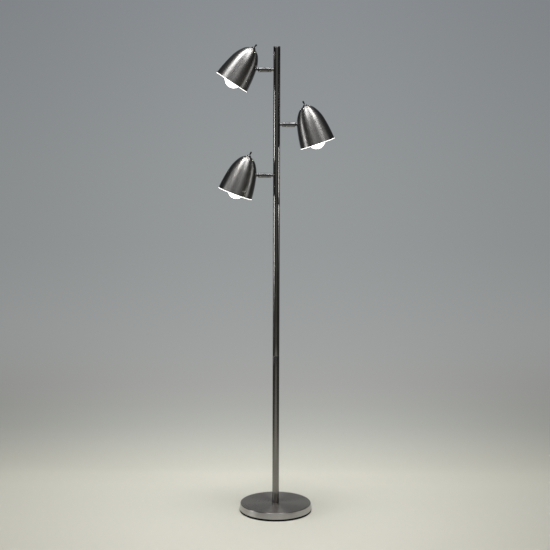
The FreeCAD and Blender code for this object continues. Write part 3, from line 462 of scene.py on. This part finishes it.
bpy.data.objects.remove(drill)
settle(base_cover)
# Faces turned upwards, the rounded top edge included, take the darker top steel: painted shade.
dress(base_cover.data, (base_steel, base_top_shaded_steel, foot_shade),
      lambda face: 1 if face.normal.z > top_facing else 2 if face.center.z < foot_shade_top else 0)
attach(base_cover, "stand")
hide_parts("base_cover")
foam = moulded("black_foam", (0.010, 0.010, 0.010), 0.90, 900.0, 0.0003, variation=0.3,
               Specular_IOR_Level=0.15)
pad_radius, pad_ease = 129.2 * mm, 0.5 * mm
pad_outline = eased([(0, 0, 0), (pad_radius, 0, pad_ease), (pad_radius, pad_height, pad_ease),
                     (0, pad_height, 0)])
foam_pad = turned("base_pad_foam", pad_outline, foam, closed=False, turns=192)
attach(foam_pad, "stand")
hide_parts("base_pad")


def smooth_copy(node, name, body, finish, sharp=30.0):
    """A merged, smooth-shaded copy of a small hidden solid, with its own finish."""
    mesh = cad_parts[node].data.copy()
    mesh.name = name
    soup = bmesh.new()
    soup.from_mesh(mesh)
    bmesh.ops.remove_doubles(soup, verts=soup.verts, dist=1e-6)
    pour(soup, mesh)
    dress(mesh, (finish,), lambda face: 0)
    smooth(mesh, sharp)
    piece = added(name, mesh)
    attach(piece, body)
    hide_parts(node)
    return piece


iron = moulded("cast_iron", (0.11, 0.108, 0.105), 0.72, 420.0, 0.0006, variation=0.25, Metallic=0.55)
board = moulded("fibreboard", (0.36, 0.25, 0.16), 0.85, 650.0, 0.0004, variation=0.2)
zinc = moulded("zinc_plate", (0.60, 0.62, 0.66), 0.30, 260.0, 0.00006, variation=0.10, Metallic=1.0)
black_plastic = moulded("black_plastic", (0.022, 0.022, 0.023), 0.45, 800.0, 0.00008, variation=0.2)
smooth_copy("base_weight", "base_weight_iron", "stand", iron)
smooth_copy("base_board", "base_board_ring", "stand", board)
smooth_copy("base_nipple", "base_nipple_pipe", "stand", zinc)
smooth_copy("base_nuts", "base_nut_and_washer", "stand", zinc)
smooth_copy("cord_bushing", "cord_bushing_moulded", "stand", black_plastic)

# ---------------------------------------------------------------- pole
# Three plain steel tubes, satin nickel plated and brushed lengthwise, stand on each other. A sleeve inside
# each joint leaves only a fine seam. A turned cap closes the top, and the cable runs up the middle.
pole_radius, pole_bore, section, pole_rings = 12 * mm, 10.8 * mm, 540 * mm, 12
pole_top = cover_top + 3 * section


def drawn_metal(name, colour, roughness, stretch):
    """Plated tube: fine lines along its length, small knocks and a soft cloud of handling marks."""
    material, metal, shader = painted(name)
    grain = noise(metal, drawn_out(metal, (34.0, 34.0, 9.0)), 1.0, 4.0)
    cloud = noise(metal, object_place(metal), 9.0, 6.0)
    tone = metal.calc("MULTIPLY", grain, cloud)
    metal.feed(shader, {
        "Metallic": 1.0, "Anisotropic": stretch, "Tangent": round_grain(metal),
        "Roughness": metal.ranged(cloud, 0.0, 1.0, roughness - 0.05, roughness + 0.05, "LINEAR"),
        "Base Color": metal.ramp(tone, two_tones(colour, 0.12, 0.86, 0.40, 1.12)),
        "Normal": bumped(metal, grain, 0.06, 0.0002)})
    return material


pole_steel = drawn_metal("pole_steel", (0.275, 0.268, 0.258), 0.20, 0.30)
for k, node in enumerate(("pole_lower", "pole_middle", "pole_upper")):
    rings = [cover_top + k * section + section * j / pole_rings for j in range(pole_rings + 1)]
    inside = [(pole_bore, ring, 0) for ring in rings]
    outside = [(pole_radius, ring, 0.35 * mm if ring in (rings[0], rings[-1]) else 0) for ring in rings]
    tube = turned(node + "_tube", eased(inside + outside[::-1]), pole_steel, turns=72)
    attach(tube, "stand")
    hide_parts(node)
# The cap's steel is toned much darker than the pole's: painted shade, so its rounded edge barely catches the
# overhead light.
cap_steel = turned_metal("cap_steel", (0.170, 0.168, 0.166), 0.34, 0.3, lines=900.0, wear=0.04)
cap_depth, cap_height, sliding_fit = 14 * mm, 5 * mm, 0.05 * mm
spigot = pole_bore - sliding_fit
cap_outline = eased([
    (0, pole_top - cap_depth, 0), (spigot, pole_top - cap_depth, 0.4 * mm), (spigot, pole_top, 0),
    (pole_radius, pole_top, 0.25 * mm), (pole_radius, pole_top + cap_height, 1.6 * mm),
    (0, pole_top + cap_height, 0)], steps=8)
pole_cap = turned("pole_cap_turned", cap_outline, cap_steel, closed=False, turns=72)
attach(pole_cap, "stand")
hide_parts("pole_cap")
cable = moulded("black_cable", (0.026, 0.026, 0.027), 0.5, 500.0, 0.00005, variation=0.2)
smooth_copy("pole_couplers", "pole_coupler_sleeves", "stand", zinc)
smooth_copy("pole_harness", "pole_harness_cable", "stand", cable)

# ---------------------------------------------------------------- arms
# Each arm is a short chromed tube on a turned collar that screws into the pole. Its far end is drawn in to
# a lip round the swivel ball; a coil spring inside presses a nylon seat against the ball.

# A head's place is (side of the pole, height of its ball, lean of its shade in degrees).
heads = {"upper": (-1, 1574.0 * mm, 33.0), "middle": (1, 1386.0 * mm, 18.8),
         "lower": (-1, 1209.5 * mm, 20.5)}
ball_reach, ball_socket = 61 * mm, 6.6 * mm
arm_radius, arm_bore, arm_start, arm_end, spring_end = 8.5 * mm, 6.9 * mm, 29.5 * mm, 63.5 * mm, 45 * mm
collar_radius, collar_start, collar_end = 8.3 * mm, 19 * mm, arm_start - 0.02 * mm
screw_radius, screw_start, plug_radius, plug_end = 5 * mm, 3.5 * mm, arm_bore - sliding_fit, 40 * mm
cable_bore, edge_ease = 2.9 * mm, 1 * mm


def plated(name, colour, roughness):
    """Bright plate: nearly mirror smooth, with faint smears and fine hairline marks."""
    material, plate, shader = painted(name)
    smear = noise(plate, object_place(plate), 60.0, 5.0, Distortion=0.6)
    hair = noise(plate, object_place(plate), 700.0, 2.0)
    plate.feed(shader, {
        "Metallic": 1.0,
        "Roughness": plate.ranged(smear, 0.0, 1.0, roughness - 0.02, roughness + 0.03, "LINEAR"),
        "Base Color": plate.ramp(smear, two_tones(colour, 0.0, 0.9, 1.0, 1.06)),
        "Normal": bumped(plate, hair, 0.03, 0.0001)})
    return material


# The chrome is toned far darker than chrome plate: painted shade, so that arms, collars and studs show only a
# thin line of the overhead light.
shaded_chrome = plated("arm_chrome", (0.20, 0.20, 0.204), 0.07)
nylon = moulded("white_nylon", (0.80, 0.79, 0.75), 0.42, 600.0, 0.00005, variation=0.04)
spring_steel = moulded("spring_steel", (0.45, 0.45, 0.46), 0.32, 900.0, 0.00004, variation=0.15, Metallic=1.0)


def along_arm(side, height):
    """The place of a piece turned about Z whose +Z runs outwards along an arm."""
    outwards = Matrix.Rotation(math.pi / 2 * side, 4, "Y")
    return Matrix.Translation((0, 0, height)) @ outwards


drop = arm_end - ball_reach
lip, socket_start, socket_steps = math.sqrt(ball_socket ** 2 - drop ** 2), math.asin(drop / ball_socket), 6
socket_angles = [socket_start * (1 - k / socket_steps) for k in range(1, socket_steps + 1)]
socket = [(ball_socket * math.cos(a), ball_reach + ball_socket * math.sin(a), 0) for a in socket_angles]
arm_outline = eased([
    (arm_bore, spring_end, 0), (arm_bore, arm_start, 0.2 * mm), (arm_radius, arm_start, edge_ease),
    (arm_radius, arm_end, edge_ease), (lip, arm_end, 0.1 * mm)] + socket + [(arm_bore, ball_reach, 0)])
collar_outline = eased([
    (screw_radius, screw_start, 0.3 * mm), (screw_radius, collar_start, 0.3 * mm),
    (collar_radius, collar_start, edge_ease), (collar_radius, collar_end, edge_ease),
    (plug_radius, collar_end, 0), (plug_radius, plug_end, 0.3 * mm), (cable_bore, plug_end, 0.2 * mm),
    (cable_bore, screw_start, 0.2 * mm)])
collar_pieces = []
for head, (side, height, tilt) in heads.items():
    tube = turned(head + "_arm_tube", arm_outline, shaded_chrome, along_arm(side, height), turns=72)
    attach(tube, "stand")
    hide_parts(head + "_arm")
    collar = turned(head + "_collar", collar_outline, shaded_chrome, along_arm(side, height), turns=72)
    collar_pieces.append(collar)
    smooth_copy(head + "_ball_seat", head + "_ball_seat_nylon", head + "_seat", nylon)


def joined(pieces, name):
    """Joins several pieces into one object."""
    soup = bmesh.new()
    for piece in pieces:
        soup.from_mesh(piece.data)
    mesh = pieces[0].data.copy()
    mesh.name = name
    pour(soup, mesh)
    whole = added(name, mesh)
    for piece in pieces:
        bpy.data.objects.remove(piece)
    return whole


collars = joined(collar_pieces, "arm_collars_turned")
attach(collars, "stand")
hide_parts("arm_collars")
smooth_copy("arm_inserts", "arm_insert_blocks", "stand", zinc)
smooth_copy("arm_springs", "arm_spring_coils", "stand", spring_steel, sharp=80.0)

# ---------------------------------------------------------------- shades
# Each shade is one sheet of steel spun to a bullet: three arcs from the mouth up to a small flat top, with
# a ring of eight round vents in the shoulder. The outside keeps its turned lines; the inside is white. The
# lowest edge of the rim has a painted glow.
mouth_radius, mouth_lean, shade_wall, top_flat = 61.8 * mm, math.radians(4.0), 1.0 * mm, 9 * mm

# An arc is given by its radius and the height where the next one follows. The last ends at the flat top.
shade_arcs = []
lean, radius, height = mouth_lean, mouth_radius, 0.0
for arc_radius, knot in ((474 * mm, 80 * mm), (118.3 * mm, 122 * mm), (42 * mm, None)):
    centre_r, centre_z = radius - arc_radius * math.cos(lean), height - arc_radius * math.sin(lean)
    if knot:
        last = math.asin((knot - centre_z) / arc_radius)
    else:
        last = math.acos((top_flat - centre_r) / arc_radius)
    shade_arcs.append((centre_r, centre_z, arc_radius, lean, last))
    radius, height = centre_r + arc_radius * math.cos(last), centre_z + arc_radius * math.sin(last)
    lean = last
shade_height = height


def shade_wall_at(height):
    """(radius, lean) of the shade's outer surface at a height above its mouth."""
    for centre_r, centre_z, arc_radius, first, last in shade_arcs:
        if height <= centre_z + arc_radius * math.sin(last):
            lean = math.asin((height - centre_z) / arc_radius)
            return centre_r + arc_radius * math.cos(lean), lean


def shade_line(offset, counts):
    """Points of the shade's outline from mouth to top, moved inwards by an offset."""
    points = []
    top = shade_height - offset
    for k, (centre_r, centre_z, arc_radius, first, last) in enumerate(shade_arcs):
        r = arc_radius - offset
        a = math.asin(-centre_z / r) if k == 0 else first
        b = math.asin((top - centre_z) / r) if k == 2 else last
        points += [Vector((centre_r + r * math.cos(a + (b - a) * j / counts[k]),
                           centre_z + r * math.sin(a + (b - a) * j / counts[k])))
                   for j in range(0 if k == 0 else 1, counts[k] + 1)]
    return points


stud_height, ball_out, vent_height, lip_height = 86 * mm, 9 * mm, 131.5 * mm, 1.2 * mm
stud_wall_radius, stud_lean = shade_wall_at(stud_height)
stud_entry = Vector((stud_wall_radius, 0, stud_height))
ball_centre = stud_entry + Vector((math.cos(stud_lean), 0, math.sin(stud_lean))) * ball_out


def head_place(side, height, tilt):
    """The matrix from a head's own frame, with its mouth at Z = 0 and +X to the arm, to the lamp's frame."""
    turn = Matrix.Rotation(math.pi if side > 0 else 0.0, 4, "Z")
    lean = Matrix.Rotation(math.radians(tilt), 4, "Y")
    return Matrix.Translation((side * ball_reach, 0, height)) @ turn @ lean @ Matrix.Translation(-ball_centre)


places = {head: head_place(*stance) for head, stance in heads.items()}

# A piece turned about Z runs out along the stud, from the shade's outer wall, when it is placed by this.
on_stud = Matrix.Translation(stud_entry) @ Matrix.Rotation(math.pi / 2 - stud_lean, 4, "Y")


def piercing_tree():
    """Geometry nodes that cut a ring of round holes, square to the wall, and a hole in a tilted seat."""
    tree, press, given = new_tree("vent_ring", (
        ("Shell", "Geometry"), ("Vents", "Int"), ("Vent Radius", "Float"), ("Ring Radius", "Float"),
        ("Ring Height", "Float"), ("Wall Lean", "Float"), ("Ring Turn", "Float"), ("Stud Hole", "Float"),
        ("Stud Place", "Vector"), ("Stud Lean", "Float"), ("Finish", "Material")), "Pierced")

    def drill_of(radius):
        drill = press.make("GeometryNodeMeshCylinder", {"Vertices": 28, "Depth": 10 * mm, "Radius": radius})
        return drill.outputs["Mesh"]

    ring = press.make("GeometryNodeMeshCircle", {"Vertices": given["Vents"], "Radius": given["Ring Radius"]})
    index = press.make("GeometryNodeInputIndex").outputs[0]
    step = press.calc("DIVIDE", math.tau, given["Vents"])
    facing = press.vector(y=press.calc("SUBTRACT", math.pi / 2, given["Wall Lean"]),
                          z=press.calc("MULTIPLY", index, step))
    drills = press.make("GeometryNodeInstanceOnPoints", {
        "Points": ring.outputs[0], "Instance": drill_of(given["Vent Radius"]), "Rotation": facing})
    lifted = press.make("GeometryNodeTransform", {
        "Geometry": drills.outputs[0], "Translation": press.vector(z=given["Ring Height"]),
        "Rotation": press.vector(z=given["Ring Turn"])})
    seat = press.make("GeometryNodeTransform", {
        "Geometry": drill_of(given["Stud Hole"]), "Translation": given["Stud Place"],
        "Rotation": press.vector(y=press.calc("SUBTRACT", math.pi / 2, given["Stud Lean"]))})
    real = press.make("GeometryNodeRealizeInstances", {0: lifted.outputs[0]})
    cutters = press.make("GeometryNodeJoinGeometry", {0: real.outputs[0]})
    press.feed(cutters, {0: seat.outputs[0]})
    cut = press.make("GeometryNodeMeshBoolean", {0: given["Shell"], 1: cutters.outputs[0]},
                     operation="DIFFERENCE", solver="EXACT")
    end_tree(press, cut.outputs[0], given["Finish"])
    return tree


vent_tree = piercing_tree()
shade_steel = turned_metal("shade_steel", (0.300, 0.294, 0.288), 0.40, 0.86, lines=1100.0, wear=0.06,
                           streaks=6.0)
enamel = moulded("shade_enamel", (0.86, 0.855, 0.84), 0.38, 300.0, 0.00008, variation=0.03,
                 Coat_Weight=0.25)
# The lowest 1.1 mm of the rim, outside and in, glows by itself: a painted glow for the bulb's light on the
# rim.
glowing_lip_paint = moulded("shade_lip_painted_glow", (0.86, 0.855, 0.84), 0.38, 300.0, 0.00008, variation=0.03,
                  Emission_Color=(1.0, 0.97, 0.91, 1.0), Emission_Strength=3.5)
glowing_lip_paint.cycles.emission_sampling = "NONE"
switch_hole, lip_bend = 6.1 * mm, shade_wall / 2
outer, inner = shade_line(0.0, (30, 18, 16)), shade_line(shade_wall, (24, 16, 12))
rim = [outer[0] + lip_bend * Vector((math.cos(a) - 1, 1 - math.sin(a)))
       for a in (0.0, 0.4, 0.8, 1.2, 1.57, 1.95, 2.35, 2.75, 3.14)]
top_hole = [Vector((switch_hole, outer[-1].y)), Vector((switch_hole, inner[-1].y))]
lip_edge = Vector((shade_wall_at(lip_height)[0], lip_height))
shade_outline = [lip_edge] + outer[1:] + top_hole + inner[:0:-1] + rim[::-1]
vent_ring_radius, vent_lean = shade_wall_at(vent_height)
vent_turns = {"upper": 0.0, "middle": 22.5, "lower": 11.25}
shade_middle, inward, white_from, glow_band_top = Vector((0, 0, 60 * mm)), -0.4 * mm, 0.6 * mm, 1.1 * mm


def shade_finish(face):
    """A face of the shade is steel outside (0), white inside (1) or on the lip, which has a painted glow (2).
    """
    inside = face.normal.dot(face.center - shade_middle) < inward
    if inside and face.center.z > white_from:
        return 1
    return 2 if face.center.z < glow_band_top else 0


for head, place in places.items():
    shell = turned(head + "_shade_spun", shade_outline, shade_steel, turns=160, sharp=50.0)
    run_tree(shell, vent_tree, {
        "Vents": 8, "Vent Radius": 3 * mm, "Ring Radius": vent_ring_radius, "Ring Height": vent_height,
        "Wall Lean": vent_lean, "Ring Turn": math.radians(vent_turns[head]), "Stud Hole": 4.2 * mm,
        "Stud Place": tuple(stud_entry), "Stud Lean": stud_lean, "Finish": shade_steel})
    settle(shell, sharp=40.0)
    dress(shell.data, (shade_steel, enamel, glowing_lip_paint), shade_finish)
    shell.data.transform(place)
    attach(shell, head + "_head")
    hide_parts(head + "_shade")

# ---------------------------------------------------------------- swivel studs
# A chromed ball with a short neck and a shoulder that rests on the shade's wall. It is turned in one piece
# with the hollow threaded stud that passes through the wall to a washer and nut on the bracket inside.
ball, neck, shoulder, stud_bore = 6.5 * mm, 3.5 * mm, 6 * mm, 2.3 * mm
shoulder_rise, shoulder_ease, neck_step = 2.2 * mm, 0.4 * mm, 0.5 * mm
stud_end, crest, root, thread_pitch, threads = -11 * mm, 4 * mm, 3.65 * mm, 1.1 * mm, 9
stud_outline = [(stud_bore, stud_end), (3.7 * mm, stud_end)]
for k in range(threads):
    crest_at = stud_end + 0.4 * mm + thread_pitch * k
    stud_outline += [(crest, crest_at), (root, crest_at + thread_pitch / 2)]
stud_outline += [
    (crest, -0.5 * mm), (shoulder, -0.45 * mm), (shoulder, shoulder_rise - shoulder_ease),
    (shoulder - shoulder_ease, shoulder_rise), (neck + neck_step, shoulder_rise),
    (neck, shoulder_rise + neck_step)]
ball_from, ball_to, ball_steps = math.asin(neck / ball), math.pi - math.asin(stud_bore / ball), 20
for k in range(ball_steps + 1):
    a = ball_from + (ball_to - ball_from) * k / ball_steps
    stud_outline.append((ball * math.sin(a), ball_out - ball * math.cos(a)))
for head, place in places.items():
    stud = turned(head + "_ball_stud_turned", stud_outline, shaded_chrome, place @ on_stud, turns=56)
    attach(stud, head + "_head")
    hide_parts(head + "_ball_stud")

# ---------------------------------------------------------------- brackets and fasteners
# A bent zinc-plated steel strip hangs on the stud inside the shade and carries the lampholder on two
# slotted screws. A washer and a hexagon nut clamp it.
for head in heads:
    smooth_copy(head + "_bracket", head + "_bracket_strip", head + "_head", zinc)
    smooth_copy(head + "_fasteners", head + "_nut_and_screws", head + "_head", zinc)

# ---------------------------------------------------------------- lampholders
# A glazed ceramic cup with a solid foot holds the brass screw shell and the centre contact. The bulb's own
# lengths come first here, because they set how deep in the shade the cup sits.
glaze = moulded("white_ceramic", (0.84, 0.83, 0.80), 0.22, 120.0, 0.0001, variation=0.03, Coat_Weight=0.6,
                Coat_Roughness=0.08)
brass = moulded("brass_sheet", (0.72, 0.54, 0.26), 0.28, 500.0, 0.00005, variation=0.10, Metallic=1.0)
globe_radius, globe_shown, globe_skirt = 30 * mm, 17 * mm, 31 * mm
housing_length, bulb_cap_length = 22 * mm, 23 * mm
cup_bore, cup_radius, cup_waist, cup_ease = 14.4 * mm, 18.5 * mm, 16.5 * mm, 0.8 * mm
contact_rise, contact_gap, contact_sheet, foot_height = 3.6 * mm, 0.2 * mm, 1.2 * mm, 6 * mm
globe_centre = globe_radius - globe_shown
globe_end = globe_centre + globe_skirt
cap_start = globe_end + housing_length
cap_end = cap_start + bulb_cap_length
bulb_tip = cap_end + contact_rise
floor_at = bulb_tip + contact_gap + contact_sheet
foot_at = floor_at + foot_height
rim_at, waist_at = foot_at - 35 * mm, foot_at - 18 * mm
cup_outline = eased([
    (cup_bore, rim_at, 0.6 * mm), (cup_radius, rim_at, 1 * mm), (cup_radius, waist_at, cup_ease),
    (cup_waist, waist_at + 3 * mm, cup_ease), (cup_waist, foot_at, 0.6 * mm), (0, foot_at, 0),
    (0, floor_at, 0), (cup_bore, floor_at, 0)])
for head, place in places.items():
    cup = turned(head + "_lampholder_cup", cup_outline, glaze, place, turns=72)
    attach(cup, head + "_head")
    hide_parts(head + "_lampholder")
    smooth_copy(head + "_socket_contacts", head + "_socket_shell", head + "_head", brass)

# ---------------------------------------------------------------- bulbs
# A standard 60 mm bulb: a frosted globe, open at its neck, on a housing with a rolled screw cap. The globe
# is lit, and its light fills the white inside of the shade and the vents.
dim_run, bright_run = 36 * mm, 56 * mm
frosted, glass, shader = painted("bulb_diffuser")
run_from_nose = glass.split(turned_place(glass))["Z"]
lit_share = glass.ranged(run_from_nose, dim_run, bright_run, 0.0, 1.0, "LINEAR")
glass.feed(shader, {
    "Base Color": (0.95, 0.94, 0.90, 1.0), "Roughness": 0.35, "Emission Strength": 70.0,
    "Emission Color": glass.ramp(lit_share, ((0.0, (0.070, 0.068, 0.064)), (1.0, (1.0, 0.96, 0.88)))),
    "Normal": bumped(glass, noise(glass, object_place(glass), 900.0, 2.0), 0.2, 0.0001)})
frosted.cycles.emission_sampling = "NONE"
housing_white = moulded("bulb_white", (0.84, 0.84, 0.82), 0.35, 500.0, 0.00004, variation=0.03)
cap_nickel = turned_metal("bulb_cap_nickel", (0.66, 0.65, 0.62), 0.22, 0.2, lines=600.0, wear=0.06)
bulb_neck, glass_wall, housing_band, crown = 21.5 * mm, 1.2 * mm, 3 * mm, 13.9 * mm
screw_turns, contact_radius = 7, 5 * mm

# A point of one turn of the screw cap is (share of the pitch, radius).
screw_line = ((0.0, 12.5 * mm), (0.25, 13.0 * mm), (0.5, 13.2 * mm), (0.75, 13.0 * mm))


def globe_line(offset, steps):
    """Points of the globe's outline from its nose to its neck, moved inwards by an offset."""
    radius, neck = globe_radius - offset, bulb_neck - offset
    touch = math.atan2(globe_skirt, neck) - math.acos(radius / math.hypot(globe_skirt, neck))
    points = [Vector((radius * math.cos(a), globe_centre + radius * math.sin(a)))
              for a in [-math.pi / 2 + (touch + math.pi / 2) * k / steps for k in range(steps + 1)]]
    points[0].x = 0.0
    foot, end = points[-1], Vector((neck, globe_end))
    return points + [foot.lerp(end, k / 4) for k in range(1, 5)]


globe_outline = globe_line(0.0, 28) + globe_line(glass_wall, 20)[::-1]
stem_outline = eased([(0, globe_end, 0), (bulb_neck, globe_end, 0.4 * mm),
                      (bulb_neck, globe_end + housing_band, 0.6 * mm), (crown, cap_start, 0.3 * mm)])
screw_pitch = bulb_cap_length / screw_turns
for k in range(screw_turns - 1):
    stem_outline += [(radius, cap_start + screw_pitch * (k + 0.5 + share)) for share, radius in screw_line]
stem_outline += [
    (12.5 * mm, cap_end), (contact_radius, cap_end + 1.6 * mm), (contact_radius, bulb_tip - 1 * mm),
    (4.6 * mm, bulb_tip - 0.3 * mm), (4 * mm, bulb_tip), (0, bulb_tip)]
for head, place in places.items():
    globe = turned(head + "_bulb_globe_glass", globe_outline, frosted, place, closed=False, turns=72)
    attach(globe, head + "_head")
    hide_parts(head + "_bulb_globe")
    stem = turned(head + "_bulb_base_housing", stem_outline, housing_white, closed=False, turns=72)

    # The lathe leaves slot 0 empty, so the housing shows plain and its screw cap in the housing's white.
    stem.data.materials.append(cap_nickel)
    for face in stem.data.polygons:
        face.material_index = 1 if face.center.z > cap_start + 0.2 * mm else 0
    stem.data.transform(place)
    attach(stem, head + "_head")
    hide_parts(head + "_bulb_base")

# ---------------------------------------------------------------- toggle switches
# A moulded switch body hangs under the shade's flat top by its threaded bushing and a dark hexagon nut.
# Its black bat lever, thicker and round at the tip, rocks on a ball in the bushing.
switch_white = moulded("switch_moulding", (0.80, 0.79, 0.75), 0.42, 700.0, 0.00006, variation=0.04)
lever_black = moulded("black_lever", (0.005, 0.005, 0.006), 0.50, 400.0, 0.00003, variation=0.2,
                      Specular_IOR_Level=0.3)
black_nickel = plated("nut_black_nickel", (0.055, 0.055, 0.057), 0.16)
nut_flats, nut_height, nut_bore, round_steps = 15 * mm, 2.6 * mm, 5.92 * mm, 48
pivot_at, lever_lean = shade_height + 2.4 * mm, math.radians(8.0)


def hexagon_nut(name, flats, low, high, bore, finish, place):
    """A hexagon nut about Z with its corners eased off at both faces."""
    corner, sixth = flats / math.sqrt(3), math.pi / 3
    ease = (corner - flats / 2) * 0.6
    soup = bmesh.new()

    def ring(z, reach_at):
        angles = [math.tau * k / round_steps + sixth / 2 for k in range(round_steps)]
        return [soup.verts.new((reach_at(a) * math.cos(a), reach_at(a) * math.sin(a), z)) for a in angles]

    def walls(z, reach):
        return ring(z, lambda a: min(flats / 2 / math.cos(a % sixth - sixth / 2), reach))

    rings = [walls(low, flats / 2), walls(low + ease, corner), walls(high - ease, corner),
             walls(high, flats / 2), ring(high, lambda a: bore), ring(low, lambda a: bore)]
    for k, first in enumerate(rings):
        second = rings[(k + 1) % len(rings)]
        for j in range(round_steps):
            after = (j + 1) % round_steps
            soup.faces.new((first[j], first[after], second[after], second[j]))
    mesh = bpy.data.meshes.new(name)
    pour(soup, mesh)
    mesh.materials.append(finish)
    return settle(added(name, mesh), place, sharp=25.0)


tip, root, ball, tail = 3.1 * mm, 1.5 * mm, 3.22 * mm, 5 * mm
reach = 17 * mm - tip
taper, crossing = math.asin((tip - root) / reach), math.asin(root / ball)
lever_outline = [(0, -tail), (root - 0.4 * mm, -tail), (root, 0.4 * mm - tail)]
for k in range(17):
    a = crossing + (math.pi - 2 * crossing) * k / 16
    lever_outline.append((ball * math.sin(a), -ball * math.cos(a)))
for k in range(12):
    a = -taper + (math.pi / 2 + taper) * k / 12
    lever_outline.append((tip * math.cos(a), reach + tip * math.sin(a)))
lever_outline.append((0, reach + tip))
for head, place in places.items():
    body = smooth_copy(head + "_switch_body", head + "_switch_body_moulded", head + "_head", switch_white)
    shade_top = place @ Vector((0, 0, shade_height - shade_wall))
    upwards = (place.to_3x3() @ Vector((0, 0, 1))).normalized()
    dress(body.data, (switch_white, black_nickel),
          lambda face: 1 if (face.center - shade_top).dot(upwards) > 0 else 0)
    nut = hexagon_nut(head + "_switch_nut_hex", nut_flats, shade_height, shade_height + nut_height, nut_bore,
                      black_nickel, place)
    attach(nut, head + "_head")
    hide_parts(head + "_switch_nut")
    rock = place @ Matrix.Translation((0, 0, pivot_at)) @ Matrix.Rotation(lever_lean, 4, "Y")
    lever = turned(head + "_switch_lever_bat", lever_outline, lever_black, rock, closed=False, turns=40)
    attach(lever, head + "_lever")
    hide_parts(head + "_switch_lever")
    smooth_copy(head + "_leads", head + "_leads_insulated", head + "_head", cable, sharp=60.0)
